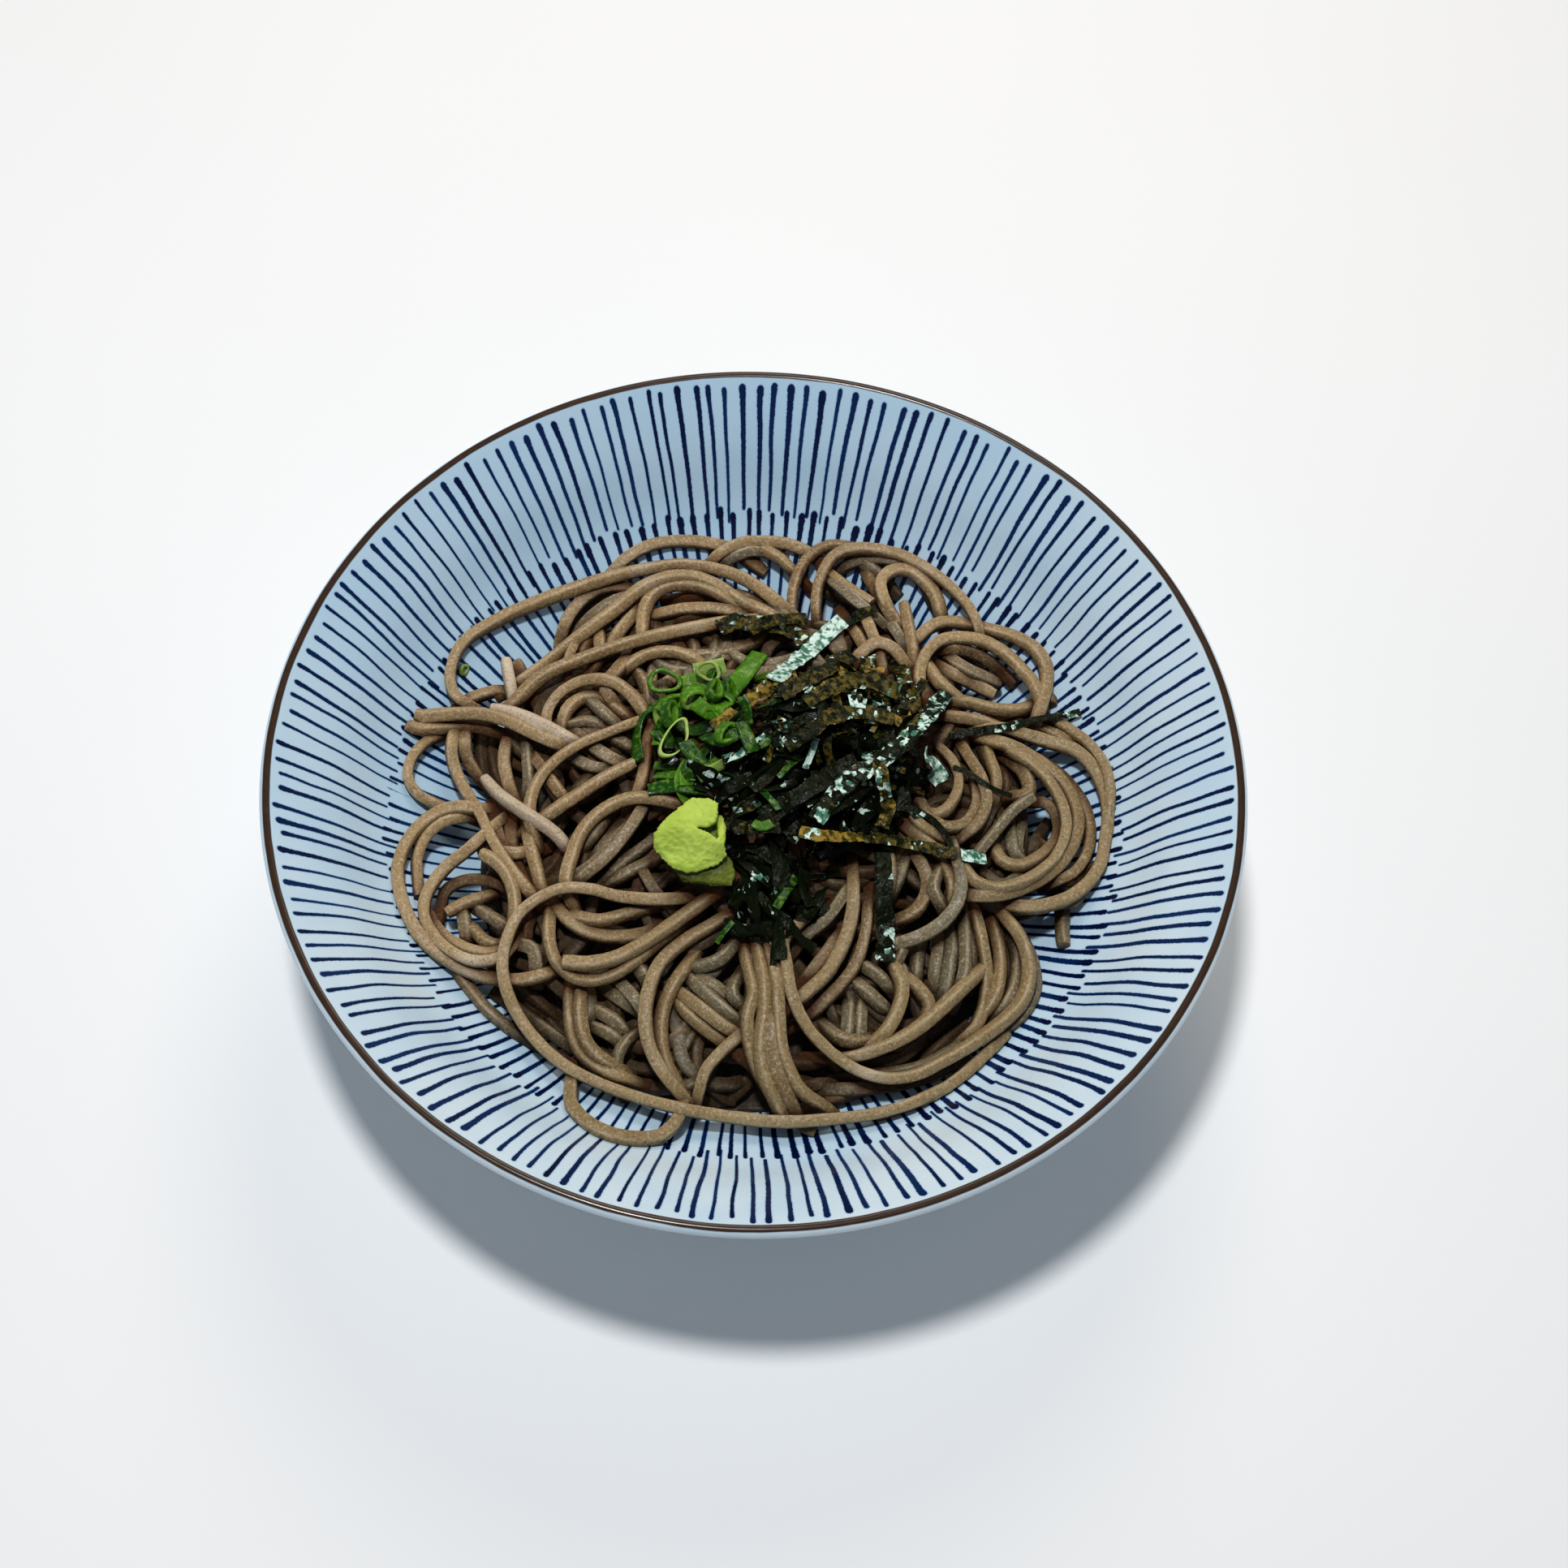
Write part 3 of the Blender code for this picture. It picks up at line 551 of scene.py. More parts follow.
topStrands = (
    ("t", "-16,56 -12,55 -8,52 -4,49"),
    ("t", "-28,36 -28.5,42 -28.5,47 -27,52 -23.5,55 -18,55.5 -12.5,53.5 -8,50"),
    ("t", "-57,25 -51,30.5 -45,37 -39,43.5 -34,49 -30,54 -25,57.3 -19,58.2 -13,56 -8,52"),
    ("t", "-66,20.5 -70,24 -72,29.5 -71.5,36 -68,42 -62,46.5 -55,50.3 -47,54 -39,57.5 -30,60.5 -22,62.2 "
          "-14,61.3 -7,58.5 -1,54 4,49"),
    ("p<", "-59.4,33.4 -58.5,30 -57.5,26.3 -55.5,18.8"),
    ("t", "-24,15 -24.5,11 -24.6,6 -24.8,1 -25.6,-3.5 -26.6,-7"), ("t", "-38,38 -37.5,33 -40,27"),
    ("t", "-44,36 -45,31 -44,27"), ("t", "-56.5,20 -50,28 -42,32.3 -34,36 -26,39 -18,41.5 -10,43.7 -3,45"),
    ("t", "-46,11 -48,15 -47.5,19.5 -45,23.5 -40.5,26.3 -35,26.3 -30.5,23.3 -27,19 -25,15"),
    ("p<", "-61,19.5 -55,17.5 -50,15 -45,12 -40.5,9"),
    ("t<", "-78.5,19 -70,19 -63,18.3 -57,16 -51,12.5 -46,9.7 -42,8"),
    ("t", "-69,15 -69,9 -67.3,3.5 -64,-2.5 -60,-8.5 -57,-14 -53,-20 -49,-25 -45.5,-29"),
    ("t<", "-27,4 -33,0.3 -38,-3.5 -43,-7.3 -47.5,-11"),
    ("t", "-27,15 -34,11.7 -40,8.7 -45,4.5 -48,0 -49.3,-5 -49,-10 -47.5,-14"),
    ("t", "-66.5,15 -65.5,8 -62.5,2.5 -59,-1.5"),
    ("p<", "-60.5,1 -57,-3 -52,-7 -47,-10.5 -43,-13.5 -39.5,-17.5"),
    ("t", "-14,-7 -20,-5.3 -27,-5 -33,-8 -37,-13 -38.8,-19 -39.5,-25 -38,-29"),
    ("t", "-60,-7 -66,-6 -71,-7.5 -75.5,-12 -77.5,-18 -76.8,-24 -74.5,-30 -71,-35.5 -66,-40 -60,-43.7 "
          "-54,-46 -48,-46.7 -42,-45.5 -38,-44"),
    ("t", "-62,-8.5 -68,-9 -72,-12.5 -73.5,-18 -72.7,-23"),
    ("t", "-57,-11.5 -62,-16.5 -67,-21 -70,-26 -70.3,-31 -67.5,-36 -62.5,-40.3 -57,-42.3 -52,-41.5 -49,-38"),
    ("t<", "-59,-17.5 -54.5,-20.5 -51.3,-25.5 -50,-31 -50.3,-36"),
    ("t", "-12,-33 -18,-38 -23,-42.5 -29,-46.2 -35,-46.5 -39.8,-43 -42,-37.5 -42.3,-32"),
    ("t>", "1,-20.5 -6,-26 -12,-31 -18,-36 -22.5,-39.3 -27.5,-42 -33,-43.2 -38.5,-42.8"),
    ("t", "-10.5,-41 -14.3,-47 -16.3,-53 -16.3,-59 -14.8,-64 -11.5,-69"),
    ("t", "1,-28 -6.5,-33.5 -13,-38 -17.7,-43 -19.6,-48.5 -19.9,-54.5 -18.7,-60 -15.7,-65 -12,-69"),
    ("t", "1,-42 2.6,-48 1.7,-53 2.4,-59 5,-65 9,-70"),
    ("t", "3,-39 4.6,-45.5 5.2,-52 4.7,-58.5 5.8,-64.5 9,-70.5"), ("b", "6.4,-50 6.9,-57 8.3,-63 11.5,-69"),
    ("t", "5.5,-39 7.3,-45.5 8.1,-52 9,-58.5 11,-63.5 13.8,-67.5 18,-70"),
    ("t", "22.3,-19 22.8,-26.5 22.2,-32 20.5,-37.5 17.8,-42.8 14,-47 10,-51"),
    ("g", "44.5,-12 46.2,-18 45.5,-23.3 42.5,-28.3 38,-32 32.5,-34.8"),
    ("t", "-15,-28.5 -21,-28.8 -28,-28.2 -34,-26.6 -40,-26.4 -45,-28.5 -49,-32 -51,-37 -51.6,-43 -50,-49 "
          "-46.5,-55 -41.5,-60.5 -35.5,-65 -28,-68.3 -20,-70.8 -10,-72.8 0,-73.8 10,-74 20,-72.7 30,-70.5 "
          "37,-67.8 42,-65"),
    ("t", "14.5,-29.5 11,-32.8 8.2,-36.8 9.2,-42 10.5,-47.5 14,-54 19.5,-59 25.5,-62.2 32,-63.2 38,-61.7 "
          "43.5,-58.3 49.5,-54 55.5,-48.8 59.7,-44 61.6,-39 61.4,-33.5 59.3,-28.5 55.5,-24.5"),
    ("g<", "62,5.5 57.5,1 53.5,-5 50.3,-10 48,-14"),
    ("t", "56,-22.3 62,-21.7 68.5,-19 74,-14.3 77.5,-8.5 78.8,-2 79.5,4 79,10 76.5,16 72,20 66,20.8 "
          "60,21.5 54.5,22 49,20"),
    ("b", "57,17 63,15.5 69,12 73.5,6.5 75.3,0 74.5,-6 71.5,-11.5 67,-15"),
    ("t", "47,-21.5 54,-20.3 61,-16.8 66.5,-12 70.3,-6.5 72.3,0 71.5,6 68.3,11.3 63,15 57,17.5 50.5,18.3"),
    ("t", "46,-14 49,-17.7 53.5,-18.7 58.5,-17 63.5,-13.3 67.5,-8.5 69.5,-2.5 69.3,3 66.5,9 62,13.7 "
          "56,16.5"),
    ("t", "37.5,36 40,32.2 43.5,29"),
    ("t", "34.3,43 37,47.5 41,50.7 46,51.3 51.5,50.9 57.5,50.2 62.3,48 65.2,43.5 65.3,37.5 64,31 62.5,25"),
    ("t", "37,27 35.5,31 35.7,36 37.3,41 40.5,45 45,46.7 50.5,46.7 55.5,44.3 59.3,40.5 62.7,36 64,31"),
    ("t", "20,33 22.3,38 25.5,41.3 29,40.5 31.5,37"),
    ("t", "11.3,47 11,54 12.2,62 15.3,69 20.5,71.8 26.5,72 32,70.6 37.5,67.3 42.3,63 46.3,58 48.7,53 "
          "49.5,49"),
)
tones = {"t": 0.62, "g": 0.18, "b": 0.42, "p": 0.97}
dryPatches = ((-17.0, 41.5, 7.0), (37.0, 67.5, 4.5), (-30.0, 58.5, 5.0), (-58.0, -42.0, 6.0),
              (28.0, -62.5, 6.0))  # x, y and reach of the places that have dried paler


def between(first, last, start, end, at):
    return (end - at) / (end - start) * first + (at - start) / (end - start) * last


def routeThrough(words, step):
    # A centripetal spline through the points of a route, read off at even steps.
    knots = np.array([[float(value) for value in pair.split(",")] for pair in words.split()])
    ends = (2 * knots[0] - knots[1], 2 * knots[-1] - knots[-2])
    full = np.vstack([ends[0], knots, ends[1]])
    dense = []
    for p0, p1, p2, p3 in zip(full, full[1:], full[2:], full[3:]):
        t = [0.0]
        for a, b in ((p0, p1), (p1, p2), (p2, p3)):
            t.append(t[-1] + max(np.linalg.norm(b - a), 1e-6) ** 0.5)
        at = np.linspace(t[1], t[2], 24, endpoint=False)[:, None]
        first = between(p0, p1, t[0], t[1], at)
        second = between(p1, p2, t[1], t[2], at)
        third = between(p2, p3, t[2], t[3], at)
        before = between(first, second, t[0], t[2], at)
        after = between(second, third, t[1], t[3], at)
        dense.append(between(before, after, t[1], t[2], at))
    return evenly(np.vstack(dense + [knots[-1:]]), step)


def evenly(points, step):
    length = np.concatenate([[0], np.cumsum(np.linalg.norm(np.diff(points, axis=0), axis=1))])
    count = max(3, int(round(length[-1] / step)) + 1)
    at = np.linspace(0, length[-1], count)
    return np.column_stack([np.interp(at, length, points[:, axis]) for axis in range(points.shape[1])])


def soften(values, spread):
    reach = int(3 * spread) + 1
    weights = np.exp(-0.5 * (np.arange(-reach, reach + 1) / spread) ** 2)
    padded = np.concatenate([np.full(reach, values[0]), values, np.full(reach, values[-1])])
    return np.convolve(padded, weights / weights.sum(), mode="valid")


def roundOff(away, half):
    # How much of its full height a rounded strand still has at some distance from its middle.
    return np.sqrt(np.clip(1 - (away / half) ** 2, 0, 1))


class Pile:
    # A height map of what has been laid down so far. Each new strand comes to rest on it.
    def __init__(self):
        side = np.arange(-heap["half"], heap["half"] + 0.01, heap["cell"])
        self.x, self.y = np.meshgrid(side, side, indexing="ij")
        self.radius = np.hypot(self.x, self.y)
        self.floor = insideHeight(self.radius)
        self.height = self.floor.copy()

    def index(self, place):
        return np.clip(np.rint((place + heap["half"]) / heap["cell"]).astype(int), 0, len(self.height) - 1)

    def under(self, points, half, thick):
        # The cells below each point, and how far a rounded strand reaches up or down there.
        span = int(half / heap["cell"]) + 1
        offset = np.arange(-span, span + 1) * heap["cell"]
        dx, dy = np.meshgrid(offset, offset, indexing="ij")
        near = np.hypot(dx, dy) <= half
        dx, dy = dx[near], dy[near]
        cap = thick * roundOff(np.hypot(dx, dy), half)
        return self.index(points[:, 0:1] + dx), self.index(points[:, 1:2] + dy), cap

    def rest(self, points, half, thick, ground=None):
        i, j, cap = self.under(points, half, thick)
        ground = self.height if ground is None else ground
        return (ground[i, j] + cap).max(axis=1)

    def stamp(self, points, heights, half, thick):
        i, j, cap = self.under(points, half, thick)
        np.maximum.at(self.height, (i, j), heights[:, None] + cap)

    def lay(self, points, half, thick, drop, give):
        # Rests on the pile, bridges what it can't bend into, and is pressed down near the top of the
        # heap, but never into the bowl.
        low = self.rest(points, half, thick)
        bare = self.rest(points, half, thick, self.floor)
        limit = heapTop(points[:, 0], points[:, 1]) - drop - thick
        low = np.maximum(np.where(low > limit, limit + give * (low - limit), low), bare)
        heights = low
        for _ in range(heap["bridgePasses"]):
            heights = np.maximum(low, soften(heights, heap["bend"]))
        heights = liftCrossings(points, heights, half, thick)
        heights = soften(heights, heap["bend"] * 0.6)
        return np.maximum(np.maximum(heights, low - heap["press"]), bare)


def liftCrossings(points, heights, half, thick):
    # Where a strand passes over itself, its later part climbs over the earlier.
    away = np.linalg.norm(points[:, None] - points[None], axis=2)
    order = np.arange(len(points))
    later = (order[:, None] - order[None]) > heap["crossApart"]
    close = later & (away < 2 * half)
    if not close.any():
        return heights
    need = np.where(close, heights[None] + 2 * thick * roundOff(away, 2 * half), -np.inf)
    lifted = np.maximum(heights, need.max(axis=1))
    for _ in range(heap["crossPasses"]):
        lifted = np.maximum(lifted, soften(lifted, heap["bend"]))
    return lifted


def domeHeight(radius, top, edge):
    return rimHeight - top - (edge - top) * (radius / heap["edgeRadius"]) ** 2


def heapTop(x, y):
    return domeHeight(np.hypot(x, y), heap["topDepth"], heap["edgeDepth"])


def guideHeight(x, y):
    # The smooth surface on which the routes were laid out.
    radius = np.hypot(x, y)
    return np.maximum(domeHeight(radius, heap["guideTop"], heap["guideEdge"]),
                      insideHeight(radius) + heap["guideClear"])


def slideAlongSight(guide, heights, level=None):
    # Where a strand lies lower than the surface it was laid out on, it moves along the line of sight.
    if level is None:
        level = guideHeight(guide[:, 0], guide[:, 1])
    share = ((heights - level) / (level - eyePlace.z))[:, None]
    return guide + (guide - np.array(eyePlace[:2])) * share


def tuckEnds(points, first, last):
    # An end that isn't a cut one runs on a little under its neighbours.
    reach = int(heap["tuck"] / heap["step"])
    steps = np.arange(1, reach + 1)[:, None]
    if first:
        points = np.vstack([(points[0] + steps * (points[0] - points[1]))[::-1], points])
    if last:
        points = np.vstack([points, points[-1] + steps * (points[-1] - points[-2])])
    return points


def sinkEnds(heights, bare, first, last):
    # The hidden ends go down between the strands below them.
    reach = min(int(heap["sinkReach"] / heap["step"]), len(heights) // 2 - 1)
    share = (1 - np.arange(reach) / reach) ** heap["sinkCurve"]
    heights = heights.copy()
    for wanted, order in ((first, 1), (last, -1)):
        if wanted:
            run = heights[::order]
            run[:reach] = np.minimum(run[:reach], run[reach]) - heap["sinkDepth"] * share
    return np.maximum(heights, bare)


def heapReach(x, y):
    # The hidden part of the heap comes further out on the near side.
    return heap["bedReach"] + heap["nearReach"] * np.clip(-y / (np.hypot(x, y) + 1e-6), 0, 1)


def bedRoute(dice):
    # A loose curl that wanders inside the heap, and turns back before it leaves it.
    angle, out = dice.uniform(0, fullTurn), heap["bedReach"] * math.sqrt(dice.random())
    at = np.array([out * math.cos(angle), out * math.sin(angle)])
    if at[1] < 0:
        at[1] *= 1 + heap["nearReach"] / heap["bedReach"]
    start, change = heap["bedStartCurl"], heap["bedCurlChange"]
    heading, curl = dice.uniform(0, fullTurn), dice.uniform(-start, start)
    points = [at.copy()]
    for _ in range(dice.randint(*heap["bedSteps"])):
        curl = np.clip(curl + dice.uniform(-change, change), -heap["bedCurl"], heap["bedCurl"])
        if np.hypot(*at) / heapReach(*at) > heap["bedTurnAt"]:
            inward = math.atan2(-at[1], -at[0]) - heading
            curl = math.copysign(heap["bedTurnBack"], math.sin(inward))
        heading += heap["bedStep"] * curl
        at = at + heap["bedStep"] * np.array([math.cos(heading), math.sin(heading)])
        if np.hypot(*at) < heapReach(*at):
            points.append(at.copy())
    return np.array(points)


def somewhereIn(dice, centre, reach):
    # A random spot in an ellipse.
    angle, out = dice.uniform(0, fullTurn), math.sqrt(dice.random())
    across, back = reach[0] * out * math.cos(angle), reach[1] * out * math.sin(angle)
    return np.array([centre[0] + across, centre[1] + back])


def bentRoute(middle, heading, bendBy, length):
    s = np.arange(-length / 2, length / 2, 1.0)
    return middle + np.column_stack([np.cos(heading + bendBy * s) * s, np.sin(heading + bendBy * s) * s])


def makeLine(name, strands):
    # One open polyline for each strand, with its values stored on the points.
    verts, edges, fields = [], [], {}
    for strand in strands:
        first = len(verts)
        verts.extend([tuple(point * mm) for point in strand["points"]])
        edges.extend([(first + k, first + k + 1) for k in range(len(strand["points"]) - 1)])
        for key, values in strand["fields"].items():
            fields.setdefault(key, []).extend(np.broadcast_to(values, len(strand["points"])).tolist())
    mesh = bpy.data.meshes.new(name)
    mesh.from_pydata(verts, edges, [])
    for key, values in fields.items():
        storeValues(mesh, key, values)
    return addPiece(name, mesh)


def barOutline(tree, bar, given):
    # A bar with rounded corners. The middle point of each corner is marked, so that cut edges can be paler:
    # partly drier rims, partly a painted highlight along the corners.
    outline = tree.add("GeometryNodeFilletCurve", {"Curve": bar, "Count": given["Corner steps"],
                                                   "Radius": given["Corner"]}, mode="POLY")
    place = tree.add("GeometryNodeInputIndex").outputs[0]
    lap = tree.math("MODULO", place, tree.plus(given["Corner steps"], 1.0))
    marks = {"Geometry": outline.outputs[0], "Name": "edge", "Value": tree.math("COMPARE", lap, 1.0, 0.5)}
    return tree.add("GeometryNodeStoreNamedAttribute", marks, data_type="FLOAT", domain="POINT").outputs[0]


def sweepTree(name, finish, flat, smoothly):
    # Sweeps a rounded bar or a crumpled ribbon along every line.
    tree = Tree(name, {"Width": 0.003, "Thickness": 0.003, "Corner": 0.001, "Corner steps": 2,
                       "Outline step": 0.00075, "Crumple": 0.0, "Crumple size": 420.0, "Seed": 3.0})
    given = tree.given
    curve = tree.add("GeometryNodeMeshToCurve", {"Mesh": given["Geometry"]}).outputs[0]
    bar = tree.add("GeometryNodeCurvePrimitiveQuadrilateral",
                   {"Width": given["Width"], "Height": given["Thickness"]}).outputs[0]
    if flat:
        curve = tree.add("GeometryNodeSetCurveNormal", {"Curve": curve}, mode="Z_UP").outputs[0]
        steps = {"Curve": bar, "Length": given["Outline step"]}
        outline = tree.add("GeometryNodeResampleCurve", steps, mode="LENGTH").outputs[0]
    else:
        outline = barOutline(tree, bar, given)
    curve = tree.add("GeometryNodeSetCurveTilt", {"Curve": curve, "Tilt": tree.field("turn")}).outputs[0]
    parts = {"Curve": curve, "Profile Curve": outline, "Scale": tree.field("size"), "Fill Caps": True}
    swept = tree.add("GeometryNodeCurveToMesh", parts).outputs[0]
    wave = tree.add("ShaderNodeTexNoise", {"Scale": given["Crumple size"], "Detail": 2.0, "W": given["Seed"]},
                    noise_dimensions="4D")
    centred = tree.add("ShaderNodeVectorMath", {0: wave.outputs["Color"], 1: (0.5, 0.5, 0.5)},
                       operation="SUBTRACT")
    amount = tree.times(given["Crumple"], tree.field("size"))
    push = tree.add("ShaderNodeVectorMath", {0: centred.outputs[0], "Scale": amount}, operation="SCALE")
    moved = tree.add("GeometryNodeSetPosition", {"Geometry": swept, "Offset": push.outputs[0]})
    tree.finish(moved.outputs[0], finish, smoothly)
    return tree


def sweepPiece(name, strands, finish, values, flat=False, smoothly=True):
    # Runs the tree on the lines of all strands and keeps the outcome as a plain mesh.
    tree = sweepTree(name + "Sweep", finish, flat, smoothly)
    source = makeLine(name + "Lines", strands)
    modifier = source.modifiers.new("sweep", "NODES")
    modifier.node_group = tree.group
    for label, value in values.items():
        modifier[tree.ids[label]] = value
    mesh = keepEvaluated(source)
    mesh.name = name
    mesh.materials.clear()
    mesh.materials.append(finish)
    return addPiece(name, mesh)


def sobaMaterial():
    shade = Shade("buckwheatNoodle", Specular_IOR_Level=0.31, Coat_Weight=0.05, Coat_Roughness=0.34,
                  Subsurface_Weight=0.06, Subsurface_Scale=0.0016)
    spot = shade.where()
    tone = shade.attribute("tone")
    # Grey and brown tints are partly the strands' own colour and partly painted shade for strands lying lower
    # in the heap.
    tint = shade.mix(shade.ramp(tone, 0.12, 0.40), soba["grey"], soba["brown"])
    tint = shade.mix(shade.ramp(tone, 0.40, 0.70), tint, soba["tan"])
    tint = shade.mix(shade.ramp(tone, 0.72, 0.98), tint, soba["dry"])
    # Paler corners: partly drier cut rims, partly a painted highlight along each edge.
    edge = shade.times(shade.attribute("edge"), shade.cloud(spot, 130.0, 2.0, 0.35, 0.65, 0.1, 0.55))
    tint = shade.mix(shade.times(shade.cloud(spot, 95.0, 3.0, 0.30, 0.72), 0.40), tint, soba["cloud"])
    tint = shade.mix(edge, tint, soba["edge"])
    grain = shade.cloud(spot, 1300.0, 3.0, 0.50, 0.66, rough=0.65)
    tint = shade.mix(shade.times(grain, 0.55), tint, soba["grain"])
    husk = shade.cloud(spot, 2000.0, 2.0, 0.57, 0.68, rough=0.6)
    tint = shade.mix(shade.times(husk, 0.60), tint, soba["husk"])
    x, y, _ = shade.split(spot)
    # Painted shade: the strands are darker towards the near right of the heap.
    side = shade.plus(shade.times(x, 600.0), shade.times(y, -800.0))  # grows towards the near right
    tint = shade.mix(shade.ramp(side, -25.0, 40.0), tint, soba["paintedNearShade"], "MULTIPLY")
    # Painted shade: points that lose sky to the food around them are darkened towards a warm shade colour.
    covered = shade.ramp(shade.attribute("cover"), 0.03, 0.52)
    gap = shade.mix(shade.ramp(tone, 0.20, 0.45), soba["greyPaintedShade"], soba["tanPaintedShade"])
    tint = shade.mix(covered, tint, gap, "MULTIPLY")
    wet = shade.plus(shade.noise(spot, 210.0, 2.0), shade.times(tone, 0.3))
    rough = shade.fit(covered, 0.40, shade.ramp(wet, 0.40, 0.85, 0.28, 0.52))
    relief = shade.plus(shade.times(shade.noise(spot, 1100.0, 3.0, 0.6), 0.7), shade.noise(spot, 320.0, 2.0))
    return shade.finish(tint, rough, relief, 0.00036)


def coreMaterial():
    shade = Shade("heapShade", Specular_IOR_Level=0.3)
    spot = shade.where()
    # Near-black colour: painted shade for the depth of the heap.
    tint = shade.mix(shade.noise(spot, 260.0), soba["coreDark"], soba["corePale"])
    rough = shade.cloud(spot, 300.0, 2.0, 0.3, 0.7, 0.5, 0.8)
    return shade.finish(tint, rough, shade.noise(spot, 240.0), 0.001)


def coreReach(x, y):
    return heapReach(x, y) - heap["bedReach"] + heap["coreRadius"]


def coreHeight(x, y):
    radius = np.hypot(x, y)
    reach = coreReach(x, y)
    edge = np.clip((reach - radius) / heap["coreEdge"], 0, 1)
    low = insideHeight(radius) + heap["coreLift"]
    dome = heapTop(x, y) - heap["coreDrop"]
    return np.where(radius < reach, low + (dome - low) * np.sqrt(edge * (2 - edge)), -np.inf)


def makeCore(pile):
    # The inside of the heap: a lumpy dome that stands just clear of the bowl, painted near-black as the shade
    # deep among the strands.
    angles = evenAngles(heap["coreSides"])

    def spotAt(angle, share):
        radius = (float(coreReach(math.cos(angle), math.sin(angle))) - 0.05) * share
        return radius * math.cos(angle), radius * math.sin(angle)

    def domePoint(angle, out):
        x, y = spotAt(angle, 1 - (1 - out) ** heap["coreSpread"])
        lump = noise.noise(Vector((x, y, 4.0)) * heap["coreLumpScale"]) * min(1.0, 3 * (1 - out))
        return x, y, float(coreHeight(x, y)) + heap["coreLump"] * lump

    def underPoint(angle, share):
        x, y = spotAt(angle, share)
        return x, y, floorAt(math.hypot(x, y)) + heap["coreClear"]

    outs = [ring / heap["coreRings"] for ring in range(1, heap["coreRings"] + 1)]
    rings = [[domePoint(angle, out) for angle in angles] for out in outs]
    rings += [[underPoint(angle, share) for angle in angles] for share in heap["coreUnder"]]
    top, bottom = (0, 0, float(coreHeight(0.0, 0.0))), (0, 0, floorAt(0.0) + heap["coreClear"])
    settle(keepShape(closedSkin(top, rings, bottom), "noodleCore", coreMaterial()), "noodles")
    pile.height = np.maximum(pile.height, coreHeight(pile.x, pile.y))


def dryness(points):
    dry = np.zeros(len(points))
    for x, y, reach in dryPatches:
        dry += heap["dryTint"] * np.exp(-(((points[:, 0] - x) ** 2 + (points[:, 1] - y) ** 2) / reach ** 2))
    return dry


def layStrand(pile, dice, route, tone, drop, give, guided=True, hidden=(True, True)):
    size = dice.uniform(*heap["sizes"])
    half, thick = heap["width"] / 2, heap["thickness"] / 2
    guide = route
    for _ in range(3 if guided else 1):
        heights = pile.lay(route, half * size, thick * size, drop, give)
        heights = sinkEnds(heights, pile.rest(route, half, thick, pile.floor), *hidden)
        if guided:
            route = slideAlongSight(guide, heights)
    pile.stamp(route, heights, half * size, thick * size)
    dry = dryness(guide) if guided else np.zeros(len(route))
    points = evenly(np.column_stack([route, heights, dry]), heap["ringStep"])
    count = len(points)
    along = np.linspace(0, 1, count)
    ends = np.clip(np.minimum(along, 1 - along) * count / heap["taperSteps"], 0, 1)
    turn = dice.uniform(0, heap["turn"]) + dice.uniform(-1.0, 1.0) * along * count * heap["twist"]
    wave = np.sin(along * count * heap["swellPace"] + dice.uniform(0, 6))
    swell = size * (1 + heap["swell"] * wave)
    shift = dice.uniform(-heap["toneSpread"], heap["toneSpread"])
    return {"points": points[:, :3], "fields": {
        "tone": np.clip(tone + shift + points[:, 3], 0, 1), "turn": turn,
        "size": swell * (1 - heap["taper"] + heap["taper"] * ends)}}


def layStrands(pile):
    dice, strands = random.Random(heap["bedSeed"]), []
    for _ in range(heap["bedCount"]):
        route = bedRoute(dice)
        if len(route) > heap["bedShortest"]:
            route, tone = evenly(route, heap["step"]), dice.choice(heap["bedTones"])
            strands.append(layStrand(pile, dice, route, tone, heap["bedDrop"], heap["bedGive"], False))
    under = random.Random(heap["underSeed"])
    for _ in range(heap["underCount"]):
        middle = somewhereIn(under, heap["underCentre"], heap["underReach"])
        heading, bendBy = under.uniform(0, math.pi), under.uniform(-heap["underBend"], heap["underBend"])
        route = bentRoute(middle, heading, bendBy, under.uniform(*heap["underLengths"]))
        tone = under.choice(heap["underTones"])
        strands.append(layStrand(pile, under, route, tone, heap["underDrop"], heap["bedGive"], False))
    for group, drop in zip((deepStrands, middleStrands, topStrands), heap["drops"]):
        for tone, words in group:
            hidden = ("<" not in tone, ">" not in tone)
            route, tone = tuckEnds(routeThrough(words, heap["step"]), *hidden), tones[tone[0]]
            strands.append(layStrand(pile, dice, route, tone, drop, heap["give"], True, hidden))
    return strands


def shadeByPile(pile, piece):
    # Stores how much of the sky each point loses to the food around it. The materials darken by it: painted
    # shade in the gaps.
    mesh = piece.data
    spots = np.empty(3 * len(mesh.vertices))
    mesh.vertices.foreach_get("co", spots)
    x, y, z = spots.reshape(-1, 3).T / mm
    food = np.where(pile.height > pile.floor + heap["shadeAbove"], pile.height, -np.inf)
    cover = np.zeros(len(z))
    for angle in evenAngles(heap["shadeTurns"]):
        steepest = np.zeros(len(z))
        for reach in heap["shadeReaches"]:
            i, j = pile.index(x + reach * math.cos(angle)), pile.index(y + reach * math.sin(angle))
            steepest = np.maximum(steepest, (food[i, j] - z) / reach)
        cover += steepest ** 2 / (1 + steepest ** 2) / heap["shadeTurns"]
    storeValues(mesh, "cover", cover)


def makeNoodles(pile):
    strands = layStrands(pile)
    sizes = {"Width": heap["width"] * mm, "Thickness": heap["thickness"] * mm, "Corner": heap["corner"] * mm,
             "Crumple": heap["crumple"] * mm}
    piece = sweepPiece("sobaStrands", strands, sobaMaterial(), sizes)
    highest = pile.height[pile.radius < heap["edgeRadius"]].max()
    print("strands", len(strands), "highest", round(float(highest), 2))
    return settle(piece, "noodles")


